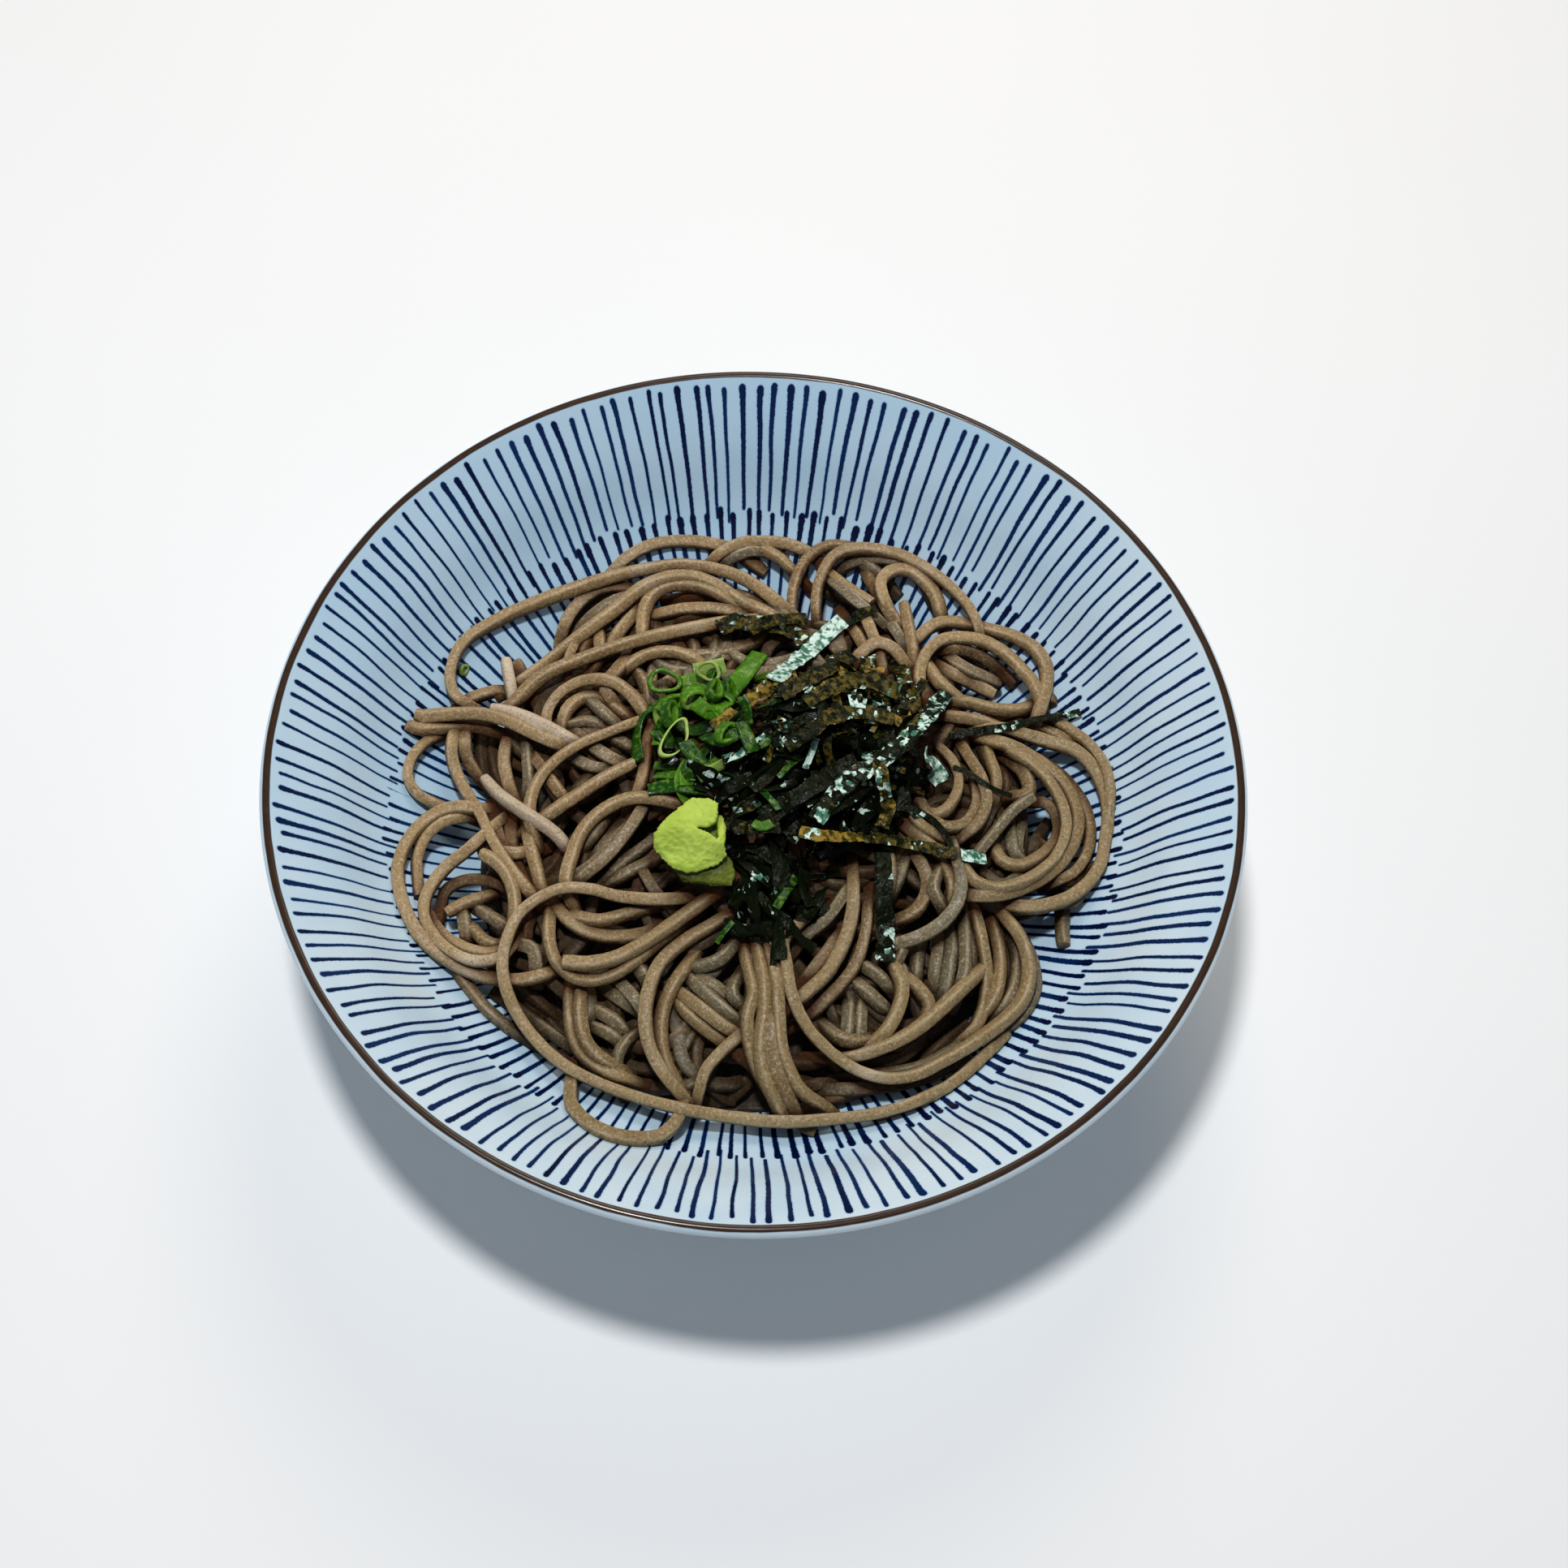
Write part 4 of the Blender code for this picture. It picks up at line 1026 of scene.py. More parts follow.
nori = {
    "width": 3.6, "thickness": 0.14, "crumple": 1.9, "crumpleSize": 400.0, "ceiling": 49.3, "seed": 5,
    "lift": 0.25, "topLift": 0.55, "tiltLift": 0.35, "overCeiling": 0.2, "bridgePasses": 5, "bend": 1.5,
    "restWidth": 0.40, "restRise": 0.1, "stampRise": 0.15, "step": 0.8, "curve": 0.05,
    "twists": (0.1, 0.6), "topTwist": 0.16, "tilts": (-1.1, 1.1), "ripples": (3, 7),
    "lengths": (7, 20), "widths": (1.6, 4.0), "glints": (0, 0, 0.08, 0.22), "slant": 0.3, "slantFrom": 20,
    "dark": (0.0010, 0.0016, 0.0005), "darkPale": (0.0060, 0.0100, 0.0020),
    "olive": (0.008, 0.009, 0.0015), "olivePale": (0.120, 0.088, 0.014), "amber": (0.31, 0.190, 0.028),
    "glintDark": (0.045, 0.160, 0.100), "glint": (0.70, 0.88, 0.76), "gap": (0.10, 0.12, 0.08),
}
# Heaps of loose strips, in the order they fall. Tints are darker on the near side of a slanting line.
noriHeaps = (
    # The first heap: near-black strips in the hollow under the nori, painted shadow.
    {"count": 26, "centre": (5.5, -24.0), "reach": (9.0, 12.5), "lean": -1.3, "spread": 0.5,
     "shadowTints": (-0.3, -0.1), "glints": None},
    {"count": 16, "centre": (-2.0, -2.5), "reach": (5.0, 7.5), "lean": 0.9, "spread": 0.8,
     "back": (-0.2, 0.0, 0.25), "front": (-0.2, 0.0, 0.25)},
    {"count": 150, "centre": (18.5, 13.0), "reach": (17.5, 24.5), "lean": 0.75, "spread": 0.6, "line": 15,
     "back": (0.10, 0.40, 0.50, 0.60), "front": (-0.05, 0.0, 0.0, 0.05, 0.30)},
    {"count": 110, "centre": (17.0, 15.0), "reach": (16.5, 22.5), "lean": 0.8, "spread": 1.2, "line": 14,
     "back": (0.20, 0.50, 0.70, 0.95), "front": (-0.1, 0.0, 0.15, 0.45),
     "lengths": (2.5, 6.5), "widths": (0.9, 2.2), "glints": (0.0, 0.08, 0.2, 0.35)},
)
# The strips that lie on top: tint, share of painted glints, width, and the route in mm.
noriStrips = (
    (0.45, 0.16, 4.2, "-11,42.1 -7.2,44.3 -2.2,44 4,43 9,40"), (0.40, 0.08, 3.2, "-4,42 2,45.5 9,46.5"),
    (0.35, 0.25, 2.6, "18.5,46.3 21.9,50.3 24.9,52.2"), (0.40, 0.0, 3.8, "4,24 12,30 20,37"),
    (0.95, 0.05, 3.6, "-3,21.3 0.9,25.1 3.4,28.2"), (0.92, 0.05, 2.6, "-10.5,13.7 -8.3,16.1 -6,18.6"),
    (0.05, 0.95, 3.9, "2.5,27.2 5.5,31.5 10.3,37.3 14,42.5 17.4,47.3"),
    (0.05, 0.65, 2.2, "-7.6,5.3 -2,8.5 3,13.6"), (0.10, 0.80, 1.5, "10.7,4.5 11.9,8.5 12.9,12.6"),
    (0.30, 0.1, 3.4, "6,10 12,15 18,22"), (0.10, 0.8, 3.0, "19.8,23.5 21.7,23.7 23.6,23.3"),
    (0.45, 0.1, 3.6, "14,18 22,21 30,20"), (0.50, 0.0, 3.8, "10,22 17,28 24,30 31,28"),
    (0.45, 0.2, 3.4, "29.3,36.1 31.3,33.9 32.4,30.3"), (0.00, 0.0, 4.2, "2,-9 9,-3 16,3 22,8"),
    (0.03, 0.12, 3.9, "8,-13 15,-6 21,-1 27,5"),
    (0.12, 0.47, 4.0, "13.6,-8 17,-2 20.6,2.8 27.1,8.1 33.7,16 39.5,25.4 41.9,29.6"),
    (0.70, 0.30, 3.0, "27,8 28.9,-0.5 29.5,-3.6 28.2,-8"), (0.05, 0.95, 4.6, "37.4,12 39.3,8.3 41.5,5.4"),
    (0.02, 0.2, 1.9, "42.6,17.6 49.5,20.4 55.5,22.6 63.7,27 73.5,31.3"),
    (0.02, 0.0, 1.3, "43.7,9.7 47.7,8.2 51.6,6.1 57.1,4.4"),
    (0.02, 0.0, 1.4, "31.4,-2.8 35.2,-2.8 40.1,-5.2 43.1,-9 44,-12"),
    (0.30, 0.15, 3.4, "-6,-10.5 0,-11 6,-10.5"),
    (0.95, 0.25, 2.8, "10.3,-11.1 16.5,-11.6 21.2,-11.3 26.9,-10.8"),
    (0.50, 0.15, 2.8, "26,-10.8 33.6,-11 40,-11.8 45,-12.1"),
    (0.10, 0.95, 2.8, "46,-12.1 49,-12.2 51.5,-12.2"), (0.00, 0.0, 3.8, "28.4,-14.3 29,-19 29.3,-25 30,-31"),
    (0.00, 0.3, 3.8, "30,-31 30.2,-34 30.4,-38.5"),
)


def noriMaterial():
    shade = Shade("toastedNori", Specular_IOR_Level=0.09, Specular_Tint=(1.0, 1.0, 0.88, 1.0))
    spot = shade.where()
    tone, glint = shade.attribute("tone"), shade.attribute("glint")
    dark = shade.mix(shade.noise(spot, 700.0), nori["dark"], nori["darkPale"])
    olive = shade.mix(shade.cloud(spot, 850.0, 3.0, 0.35, 0.65), nori["olive"], nori["olivePale"])
    patch = shade.plus(tone, shade.fit(shade.noise(spot, 520.0), 1.9, -1.14))
    tint = shade.mix(shade.ramp(patch, 0.08, 0.38), dark, olive)
    tint = shade.mix(shade.ramp(patch, 0.62, 0.85), tint, nori["amber"])
    # Painted glints: bright strips are painted with light flecks in broad patches, the others in single
    # crumbs.
    broad = shade.times(shade.noise(spot, 240.0, 2.0), shade.fit(glint, 0.5, 0.6))
    bright = shade.fit(shade.cells(spot, 800.0, "Color"), shade.fit(glint, -0.5, 1.0), broad)
    share = shade.fit(glint, -0.72, 1.20)
    sheen = shade.mix(shade.cloud(spot, 620.0, 2.0, 0.40, 0.60), nori["glintDark"], nori["glint"])
    tint = shade.mix(shade.ramp(bright, share, shade.plus(share, 0.05)), tint, sheen)
    # Painted shade: strips that lose sky to the food around them are darkened.
    covered = shade.ramp(shade.attribute("cover"), 0.15, 0.75, 0.0, 0.9)
    relief = shade.plus(shade.cells(spot, 1300.0), shade.noise(spot, 1900.0, 3.0, 0.6))
    return shade.finish(shade.mix(covered, tint, nori["gap"], "MULTIPLY"),
                        shade.cloud(spot, 480.0, 2.0, 0.35, 0.65, 0.22, 0.50), relief, 0.0001)


def layStrip(pile, dice, route, width, tone, glint, twist, tilt, guided=False):
    half, guide = nori["restWidth"] * width, route
    lift = nori["topLift"] if guided else nori["lift"]
    for _ in range(3 if guided else 1):
        heights = pile.rest(route, half, nori["restRise"])
        spare = heights - nori["ceiling"]
        heights = np.where(spare > 0, nori["ceiling"] + nori["overCeiling"] * spare, heights)
        for _ in range(nori["bridgePasses"]):
            heights = np.maximum(heights, soften(heights, nori["bend"]))
        heights = soften(heights, nori["bend"]) + lift + nori["tiltLift"] * half * abs(math.sin(tilt))
        if guided:
            route = slideAlongSight(guide, heights)
    pile.stamp(route, heights, half, nori["stampRise"])
    points = evenly(np.column_stack([route, heights]), nori["step"])
    wave = np.sin(np.linspace(0, 1, len(points)) * dice.uniform(*nori["ripples"]) + dice.uniform(0, 6))
    return {"points": points, "fields": {"tone": tone, "glint": glint, "turn": tilt + twist * wave,
                                         "size": width / nori["width"]}}


def noriTone(dice, part, spot):
    # Painted shadow tints for the strips in the hollow.
    if "shadowTints" in part:
        return dice.uniform(*part["shadowTints"])
    behind = spot[1] > part.get("line", 0) + nori["slant"] * (nori["slantFrom"] - spot[0])
    return dice.choice(part["back"] if behind else part["front"])


def layNori(pile):
    dice, strips = random.Random(nori["seed"]), []
    for part in noriHeaps:
        glints, curve = part.get("glints", nori["glints"]), nori["curve"]
        for _ in range(part["count"]):
            middle = somewhereIn(dice, part["centre"], part["reach"])
            heading = dice.gauss(part["lean"], part["spread"])
            length, bendBy = dice.uniform(*part.get("lengths", nori["lengths"])), dice.uniform(-curve, curve)
            width, tone = dice.uniform(*part.get("widths", nori["widths"])), noriTone(dice, part, middle)
            glint = dice.choice(glints) if glints else 0
            twist, tilt = dice.uniform(*nori["twists"]), dice.uniform(*nori["tilts"])
            route = bentRoute(middle, heading, bendBy, length)
            strips.append(layStrip(pile, dice, route, width, tone, glint, twist, tilt))
    for tone, glint, width, words in noriStrips:
        route = routeThrough(words, 1.0)
        strips.append(layStrip(pile, dice, route, width, tone, glint, nori["topTwist"], 0.0, True))
    return strips


def makeNori(pile):
    sizes = {"Width": nori["width"] * mm, "Thickness": nori["thickness"] * mm,
             "Crumple": nori["crumple"] * mm, "Crumple size": nori["crumpleSize"]}
    piece = sweepPiece("noriShreds", layNori(pile), noriMaterial(), sizes, True, False)
    print("nori top", round(float(pile.height.max()), 2))
    return settle(piece, "nori")


onion = {
    "seed": 11, "wall": 1.30, "wallPale": 0.50, "count": 15, "sliceCount": 30, "centre": (-14.0, 13.0),
    "reach": (8.5, 14.0), "drawnAt": 45.0, "ceiling": 46.3, "crumple": 0.7, "sliceWidth": 3.6,
    "sliceThickness": 0.55, "sides": 30, "bitSeed": 4,
    "ringRanges": ((2.4, 4.0), (2.0, 3.8), (0.45, 0.85), (20, 75), (0, 360), (0.05, 0.5)),  # as in onionRings
    "ringRest": 0.7, "ringRise": 0.75, "wobbles": (0.10, 0.07), "slant": 0.18, "innerPale": 0.30,
    "sliceLengths": (4, 11), "sliceWidths": (1.6, 3.6), "sliceCurve": 0.12,
    "sliceTones": (0.05, 0.12, 0.2, 0.3, 0.5), "sliceRest": 0.4, "sliceRise": 0.3, "sliceBend": 3.0,
    "sliceTurn": 0.5, "sliceTwist": 0.4, "step": 0.9, "guidedRounds": 3,
    "dark": (0.006, 0.052, 0.001), "green": (0.064, 0.200, 0.003), "pale": (0.44, 0.58, 0.150),
    "vein": (0.40, 0.60, 0.10), "blot": (0.004, 0.040, 0.002), "gap": (0.05, 0.10, 0.020),
}
# Rings that show: x, y, radius, length of the slice, squash, lean, heading and tint.
onionRings = (
    (-21.9, 22.6, 3.7, 3.0, 0.85, 28, 15, 0.30), (-18.5, 8.0, 5.6, 1.4, 0.42, 25, 62, 0.88),
    (-15.2, 19.0, 3.0, 3.4, 0.7, 65, 20, 0.45), (-10.5, 21.0, 2.6, 2.4, 0.8, 40, 110, 0.20),
    (-7.0, 10.5, 3.2, 2.6, 0.6, 55, 60, 0.30), (-12.2, 26.0, 3.0, 2.2, 0.75, 30, 10, 0.72),
    (-20.0, 14.5, 3.2, 2.6, 0.6, 60, 100, 0.20),
)
strayRing = (-69.0, 31.5, 1.6, 1.2, 0.7, 60, 80, 0.85)  # one that fell beside the heap
ringOutline = ((0.0, 0.40), (0.0, -0.40), (0.3, -0.5), (0.7, -0.5), (1.0, -0.38), (1.0, 0.38), (0.7, 0.5),
               (0.3, 0.5))  # share of the wall inwards, share of the slice's length
# Long slanting slices: tint, width and route.
onionSlices = (
    (0.15, 3.4, "-22.5,16.5 -25.8,14 -26.9,8 -26,2"), (0.12, 3.4, "-23.2,-5.1 -18.1,-3.8 -10.8,-4.2"),
    (0.30, 2.0, "-22,-1.5 -17,-1 -13,-1.5"), (0.42, 4.4, "-10,15.5 -6.4,22 -3.5,27 -1,31.5"),
    (0.72, 4.2, "-15.5,25.5 -12,26.5 -8.5,27.5"), (0.55, 3.2, "-18,22.5 -14.5,23.5 -11.5,22.5"),
    (0.70, 2.6, "-12.5,-1.5 -8.1,2 -3.8,4.9"), (0.45, 3.6, "-14.6,17.5 -11.5,15.5 -8,15"),
    (0.18, 3.2, "-12,9.5 -8,8.5 -4.5,11"), (0.10, 3.8, "-16,7.5 -13.5,3.5 -11.5,1"),
    (0.15, 3.0, "-4.6,12 -2,7 -0.4,3"),
)
onionBits = (
    (0.40, 2.2, "0.1,-11.6 2.1,-12.4 4.2,-11.3"), (0.10, 2.0, "10,-24.1 8.1,-27.7 6.2,-31.7"),
    (0.10, 1.4, "-2.7,-35.5 -4.4,-38.1 -5.8,-40.7"), (0.16, 3.0, "-4.2,13.5 -2.5,9.5 -1,6"),
    (0.22, 1.6, "-0.5,17.5 2.5,19 5,22"), (0.10, 1.8, "0.5,7.5 3.5,10 5.5,13.5"),
    (0.30, 1.6, "-3,24 0,25.5 3,26"), (0.14, 2.6, "-4.5,20 -3,16.5 -2.5,13"),
    (0.14, 1.5, "5,13 7.5,15 9.5,18"), (0.10, 1.5, "1.5,-3.5 3.6,-5.6 5.5,-8"), (0.10, 1.4, "5,0 7,3 9,5"),
)


def onionMaterial():
    shade = Shade("springOnion", Specular_IOR_Level=0.16, Coat_Weight=0.10, Coat_Roughness=0.10,
                  Subsurface_Weight=0.15, Subsurface_Scale=0.0015)
    spot = shade.where()
    tone = shade.attribute("tone")
    leaf = shade.mix(shade.ramp(tone, 0.10, 0.45), onion["dark"], onion["green"])
    leaf = shade.mix(shade.ramp(tone, 0.45, 0.90), leaf, onion["pale"])
    veins = shade.cloud(shade.scaled(spot, 1.0, 1.0, 0.25), 900.0, 3.0, 0.45, 0.75, 0.0, 0.32)
    leaf = shade.mix(veins, leaf, onion["vein"])
    leaf = shade.mix(shade.cloud(spot, 150.0, 2.0, 0.45, 0.75, 0.0, 0.45), leaf, onion["blot"])
    # Painted shade: slices that lose sky to the food around them are darkened.
    covered = shade.ramp(shade.attribute("cover"), 0.08, 0.65)
    leaf = shade.mix(covered, leaf, onion["gap"], "MULTIPLY")
    rough = shade.cloud(spot, 300.0, 2.0, 0.3, 0.7, 0.17, 0.36)
    return shade.finish(leaf, rough, shade.noise(spot, 800.0), 0.00025)


def addRing(shape, pile, ring, drawnAt=None):
    # One slice of a round leaf: a squashed tube with rounded edges, leaning on what lies below it.
    x, y, radius, length, squash, lean, heading, tone = ring
    toneLayer = shape.verts.layers.float["tone"]
    spot = np.array([[x, y]])
    base = float(pile.rest(spot, radius * onion["ringRest"], 0.0)[0])
    rise = radius * squash * math.sin(math.radians(lean)) + 0.5 * length * math.cos(math.radians(lean))
    height = min(base + onion["ringRise"] * rise, onion["ceiling"])
    x, y = slideAlongSight(spot, np.array([height]), drawnAt)[0]
    turn = Matrix.Rotation(math.radians(heading), 3, "Z") @ Matrix.Rotation(math.radians(lean), 3, "X")
    wall, bands = onion["wall"] - onion["wallPale"] * tone, []
    two, three = onion["wobbles"]
    for angle in evenAngles(onion["sides"]):
        wobble = 1 + two * math.sin(2 * angle + heading) + three * math.sin(3 * angle + lean)
        slant = onion["slant"] * length * math.sin(angle + tone * 9)
        band = []
        for inner, level in ringOutline:
            out = radius * wobble - wall * inner
            corner = turn @ Vector((out * math.cos(angle), out * squash * math.sin(angle),
                                    level * length + slant))
            vertex = shape.verts.new(((x + corner.x) * mm, (y + corner.y) * mm, (height + corner.z) * mm))
            vertex[toneLayer] = min(1.0, tone + onion["innerPale"] * inner)
            band.append(vertex)
        bands.append(band)
    for near, far in zip(bands, bands[1:] + bands[:1]):
        for k in range(len(near)):
            shape.faces.new((near[k - 1], near[k], far[k], far[k - 1]))
    pile.stamp(spot, np.array([height - 0.6]), radius * 0.6, 0.6)


def laySlice(pile, dice, guide, width, tone, rounds=1):
    route, half, lift = guide, onion["sliceRest"] * width, onion["sliceRise"]
    for _ in range(rounds):
        heights = soften(pile.rest(route, half, lift), onion["sliceBend"]) + lift
        heights = np.minimum(heights, onion["ceiling"])
        if rounds > 1:
            route = slideAlongSight(guide, heights, onion["drawnAt"])
    pile.stamp(route, heights, half, lift)
    points = evenly(np.column_stack([route, heights]), onion["step"])
    wave = np.sin(np.linspace(0, 3, len(points)))
    turn = dice.uniform(-onion["sliceTurn"], onion["sliceTurn"]) + onion["sliceTwist"] * wave
    return {"points": points, "fields": {"tone": tone, "turn": turn, "size": width / onion["sliceWidth"]}}


def sweepSlices(name, slices, finish):
    sizes = {"Width": onion["sliceWidth"] * mm, "Thickness": onion["sliceThickness"] * mm,
             "Crumple": onion["crumple"] * mm}
    return settle(sweepPiece(name, slices, finish, sizes, True), "spring_onion")


def makeOnion(pile, finish):
    dice, slices = random.Random(onion["seed"]), []
    shape = bmesh.new()
    shape.verts.layers.float.new("tone")
    for _ in range(onion["count"]):
        place = somewhereIn(dice, onion["centre"], onion["reach"])
        looks = (dice.uniform(*limits) for limits in onion["ringRanges"])
        addRing(shape, pile, (*place, *looks), onion["drawnAt"])
    for _ in range(onion["sliceCount"]):
        middle = somewhereIn(dice, onion["centre"], onion["reach"])
        heading, length = dice.uniform(0, math.pi), dice.uniform(*onion["sliceLengths"])
        guide = bentRoute(middle, heading, dice.uniform(-onion["sliceCurve"], onion["sliceCurve"]), length)
        width, tone = dice.uniform(*onion["sliceWidths"]), dice.choice(onion["sliceTones"])
        slices.append(laySlice(pile, dice, guide, width, tone))
    for ring in onionRings:
        addRing(shape, pile, ring, onion["drawnAt"])
    for tone, width, words in onionSlices:
        guide = routeThrough(words, 1.0)
        slices.append(laySlice(pile, dice, guide, width, tone, onion["guidedRounds"]))
    addRing(shape, pile, strayRing)
    bmesh.ops.recalc_face_normals(shape, faces=shape.faces)
    rings = settle(keepShape(shape, "springOnionRings", finish), "spring_onion")
    return rings, sweepSlices("springOnionSlices", slices, finish)


def makeOnionBits(pile, finish):
    # A few slices that ended up on the nori.
    dice, slices = random.Random(onion["bitSeed"]), []
    for tone, width, words in onionBits:
        guide = routeThrough(words, 0.7)
        slices.append(laySlice(pile, dice, guide, width, tone, onion["guidedRounds"]))
    return sweepSlices("springOnionBits", slices, finish)


wasabi = {
    # corners of the lumps, x, y, z: the broad one in front, the wedge behind it, a thin wall beside the
    # gap between them, the floor of that gap, and the foot that all of them stand on
    "block": ((-21.2, -16.3, 46.2), (-17, -14.6, 47.4), (-12.9, -14.9, 48), (-10.4, -15.9, 47.8),
              (-7.6, -17, 47.6), (-5.8, -18, 47), (-21, -18.8, 44), (-18.5, -21.3, 43.4),
              (-16.3, -22.9, 43.2), (-13.4, -23.8, 43), (-11.3, -22.6, 43.2), (-6.9, -21.6, 43.6),
              (-4.9, -19.9, 44.8), (-6, -17, 41), (-18, -15, 41), (-13, -21, 41)),
    "wedge": ((-20.6, -15.4, 45.8), (-18.6, -12.9, 46.4), (-16.1, -9.6, 46.6), (-13.2, -7.7, 47.4),
              (-10, -7.8, 48.3), (-7.6, -8.9, 48.6), (-7.8, -11, 48.6), (-8, -13.2, 48.2),
              (-9.3, -14.4, 47.8), (-12.6, -14, 47.4), (-15, -15, 47.2), (-16.2, -10.4, 41),
              (-13, -8.2, 41), (-8, -8.8, 41), (-8, -12, 41), (-12.6, -13.5, 41)),
    "wall": ((-7.7, -11.2, 46.4), (-6.7, -11, 46.4), (-6, -13.4, 46.6), (-6.4, -15, 46.4),
             (-5.7, -17.8, 46.6), (-7.1, -13.4, 46.5), (-6.9, -17.4, 46.8), (-7.5, -11.2, 41),
             (-6.3, -11, 41), (-5.6, -17.5, 41)),
    "floor": ((-14.5, -12, 45.6), (-7, -11.5, 45.2), (-6.6, -15, 44.8), (-7.6, -17, 44.6), (-13, -16.5, 45),
              (-14.5, -12, 41), (-7, -11.5, 41), (-6.8, -17, 41), (-13, -16.5, 41)),
    "foot": ((-16.3, -21.9, 41.6), (-15, -24.2, 41.2), (-10, -24.8, 41.4), (-6.2, -23.5, 41.8),
             (-3.5, -24.9, 40.8), (-3.1, -22.3, 41.4), (-4.6, -19, 42.4), (-7, -18, 42.8), (-15, -20, 42.8),
             (-16, -21.9, 39.8), (-14.5, -24.5, 39.8), (-8, -25, 39.8), (-3.2, -24.9, 39.8),
             (-3.0, -22, 39.8), (-5, -18.5, 39.8), (-15, -19, 39.8)),
    "voxel": 0.32, "broad": 0.50, "ridges": 0.42, "fine": 0.22, "swell": 0.2, "seed": 9.0, "smooth": 0.35,
    "broadScale": 0.22, "ridgeScale": 0.50, "fineScale": 1.7, "smoothPasses": 2,
    "pale": (0.490, 0.630, 0.088), "green": (0.385, 0.520, 0.055), "fibre": (0.60, 0.70, 0.24),
    "paintedUnderShade": (0.27, 0.25, 0.07), "gap": (0.22, 0.24, 0.06),
}


def wasabiMaterial():
    shade = Shade("gratedWasabi", Specular_IOR_Level=0.3, Subsurface_Weight=0.15, Subsurface_Scale=0.0015)
    spot = shade.where()
    tint = shade.mix(shade.cloud(spot, 160.0, 3.0, 0.35, 0.70), wasabi["pale"], wasabi["green"])
    fibre = shade.cloud(spot, 1500.0, 3.0, 0.58, 0.72, rough=0.6)
    tint = shade.mix(shade.times(fibre, 0.40), tint, wasabi["fibre"])
    height = shade.times(shade.split(spot)[2], 1 / mm)
    # Painted shade: the foot of the mound is darker, as under its own overhang.
    tint = shade.mix(shade.ramp(height, 43.4, 42.5, 0.0, 0.95), tint, wasabi["paintedUnderShade"], "MULTIPLY")
    # Painted shade where the food around the mound hides the sky.
    covered = shade.ramp(shade.attribute("cover"), 0.10, 0.60, 0.0, 0.95)
    relief = shade.plus(shade.noise(spot, 1100.0, 4.0, 0.65), shade.noise(spot, 330.0, 2.0))
    return shade.finish(shade.mix(covered, tint, wasabi["gap"], "MULTIPLY"),
                        shade.cloud(spot, 600.0, 2.0, 0.3, 0.7, 0.45, 0.65), relief, 0.00016)


def wasabiLumps():
    # The hull of each lump, all of them joined into one skin.
    lump = bmesh.new()
    for name in ("block", "wedge", "wall", "floor", "foot"):
        points = [lump.verts.new(Vector(corner) * mm) for corner in wasabi[name]]
        hull = bmesh.ops.convex_hull(lump, input=points)
        spare = [part for part in hull["geom_interior"] if isinstance(part, bmesh.types.BMVert)]
        bmesh.ops.delete(lump, geom=spare, context="VERTS")
    mesh = bpy.data.meshes.new("wasabiLumps")
    lump.to_mesh(mesh)
    lump.free()
    source = addPiece("wasabiLumps", mesh)
    remesh = source.modifiers.new("one skin", "REMESH")
    remesh.mode = "VOXEL"
    remesh.voxel_size = wasabi["voxel"] * mm
    return keepEvaluated(source)


def makeWasabi():
    shape = bmesh.new()
    shape.from_mesh(wasabiLumps())
    for _ in range(wasabi["smoothPasses"]):
        bmesh.ops.smooth_vert(shape, verts=shape.verts, factor=wasabi["smooth"], use_axis_x=True,
                              use_axis_y=True, use_axis_z=True)
    shape.normal_update()
    for vertex in shape.verts:
        spot = vertex.co / mm
        broad = wasabi["broad"] * noise.noise(spot * wasabi["broadScale"] + Vector((wasabi["seed"], 0, 0)))
        ridge = noise.noise(spot * wasabi["ridgeScale"] + Vector((0, wasabi["seed"], 0)))
        ridges = wasabi["ridges"] * abs(ridge)
        fine = wasabi["fine"] * noise.noise(spot * wasabi["fineScale"])
        vertex.co += vertex.normal * mm * (broad - ridges + wasabi["swell"] + fine)
    spots = np.array([vertex.co[:] for vertex in shape.verts]) / mm
    mound = settle(keepShape(shape, "wasabiMound", wasabiMaterial()), "wasabi")
    return mound, spots


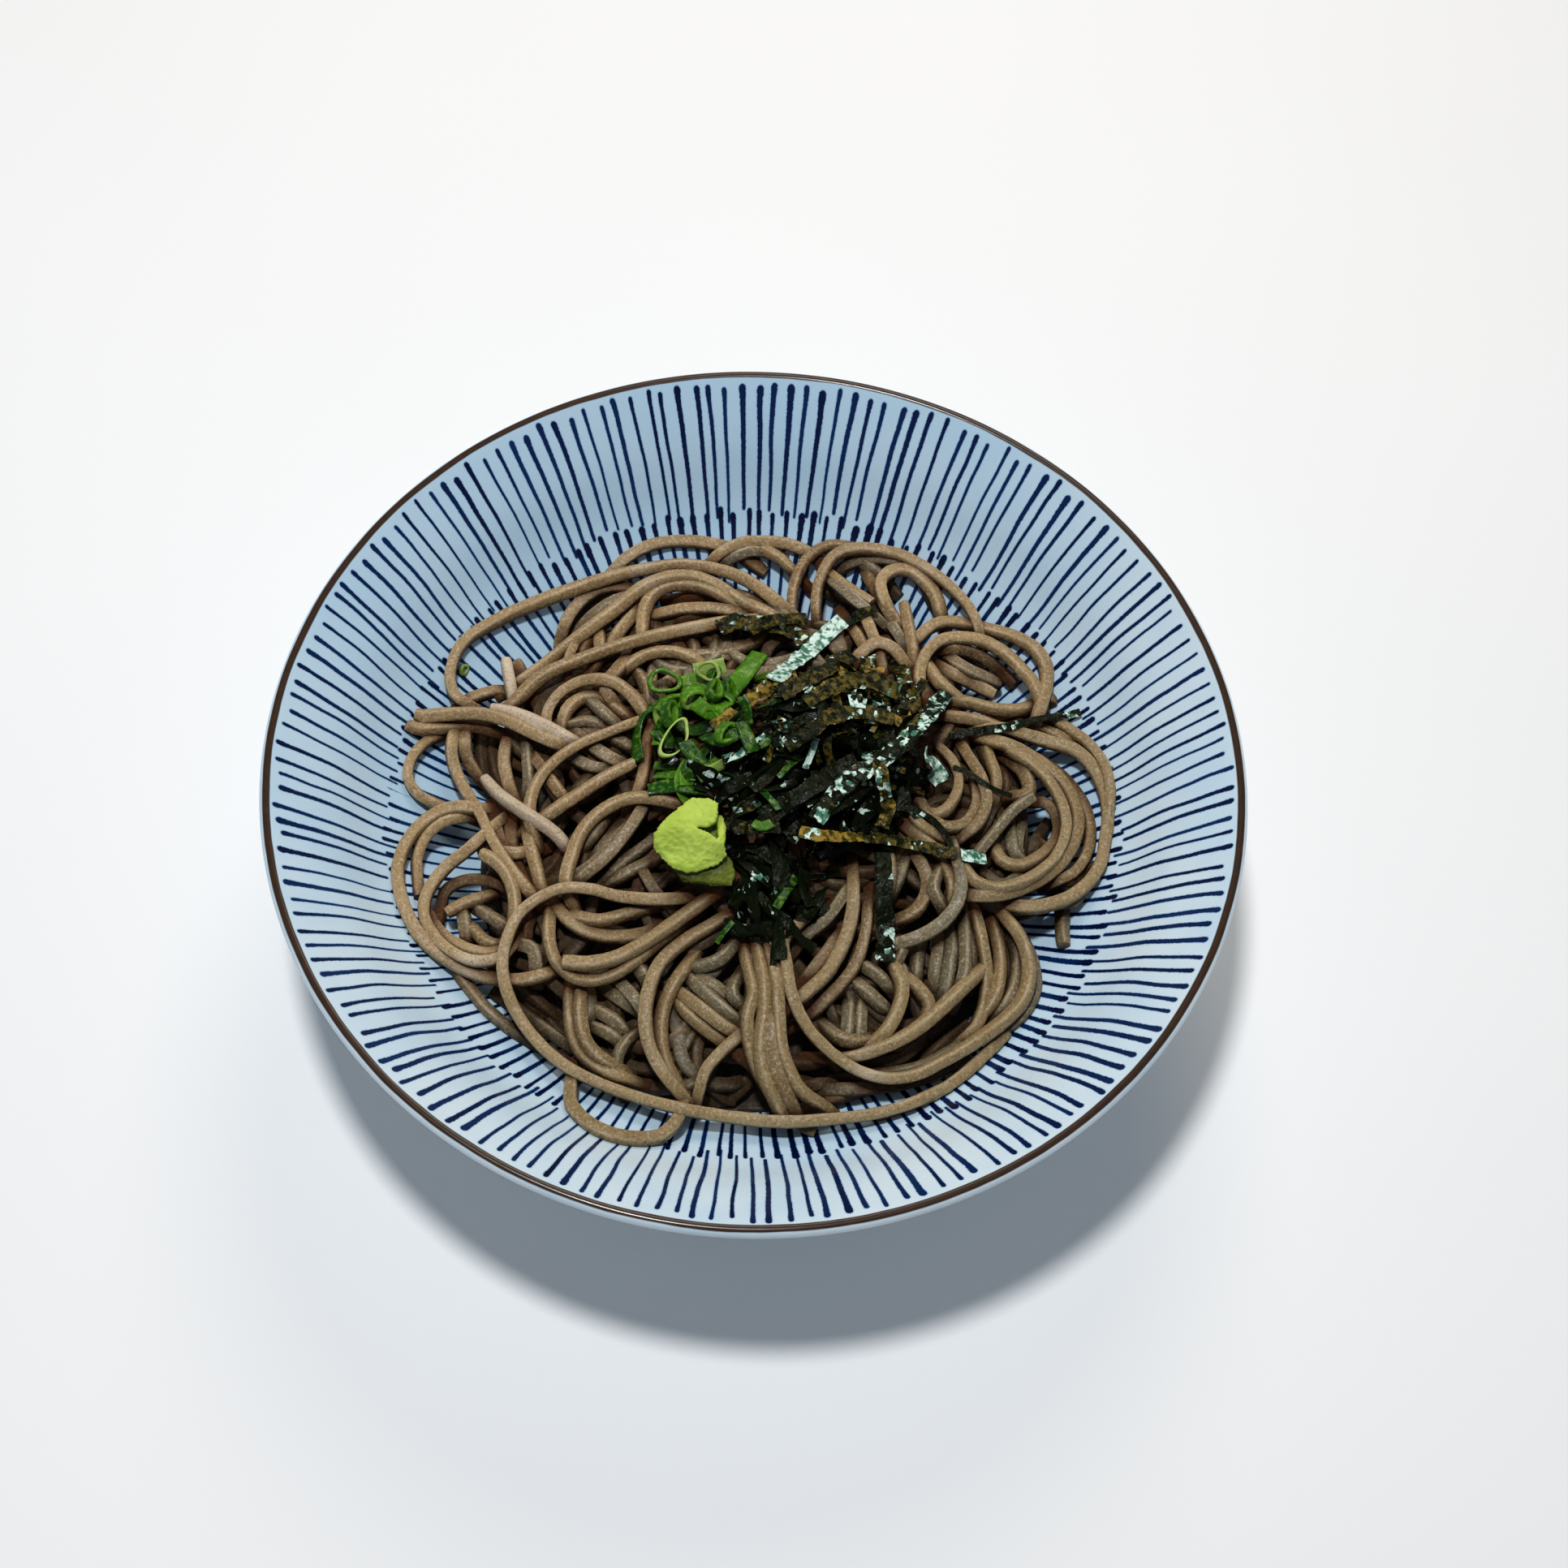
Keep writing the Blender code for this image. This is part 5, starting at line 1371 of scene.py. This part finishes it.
def makeTable():
    half, drop = view["tableHalf"], view["tableDrop"]
    table = bpy.data.meshes.new("table")
    corners = [(-half, -half, -drop), (half, -half, -drop), (half, half, -drop), (-half, half, -drop)]
    table.from_pydata(corners, [], [(0, 1, 2, 3)])
    shade = Shade("paleTable", Roughness=0.6, Specular_IOR_Level=0.25)
    tint = shade.mix(shade.noise(shade.where(), 5.0, 2.0), view["tableDark"], view["tablePale"])
    table.materials.append(shade.finish(tint))
    addPiece("table", table)


def makeLight():
    world = bpy.data.worlds.new("room")
    world.use_nodes = True
    sky = world.node_tree.nodes["Background"]
    sky.inputs[0].default_value = (*view["sky"], 1.0)
    sky.inputs[1].default_value = view["skyPower"]
    bpy.context.scene.world = world
    for name in ("lamp", "fill"):
        lamp = bpy.data.lights.new(name, "AREA")
        lamp.shape = "DISK"
        lamp.size = view[name + "Size"]
        lamp.energy = view[name + "Power"]
        lamp.color = view[name + "Colour"]
        holder = addPiece(name, lamp)
        holder.location = view[name]
        holder.rotation_euler = (-Vector(view[name])).to_track_quat("-Z", "Y").to_euler()


def makeCamera():
    camera = bpy.data.cameras.new("camera")
    camera.lens = view["lens"]
    camera.sensor_width = view["sensor"]
    camera.clip_start = view["clipStart"]
    roll = math.radians(view["roll"])
    right = Vector((1, 0, 0))
    up = right.cross(forward)
    turnedRight = right * math.cos(roll) + up * math.sin(roll)
    turnedUp = up * math.cos(roll) - right * math.sin(roll)
    turned = Matrix((turnedRight, turnedUp, -forward)).transposed().to_4x4()
    eye = addPiece("camera", camera)
    eye.matrix_world = Matrix.Translation(eyePlace * mm) @ turned
    bpy.context.scene.camera = eye
    bpy.context.scene.view_settings.view_transform = "Standard"


makeTable()
makeLight()
makeCamera()
print("table, lamps and camera are set")
makeBowl()
pile = Pile()
makeCore(pile)
strands = makeNoodles(pile)
mound, moundSpots = makeWasabi()
leafFinish = onionMaterial()
rings, slices = makeOnion(pile, leafFinish)
shreds = makeNori(pile)
bits = makeOnionBits(pile, leafFinish)
pile.stamp(moundSpots[:, :2], moundSpots[:, 2] - 0.1, heap["cell"], 0.1)
food = (strands, mound, rings, slices, shreds, bits)
for piece in food:
    shadeByPile(pile, piece)
print("shaded", len(food), "pieces")
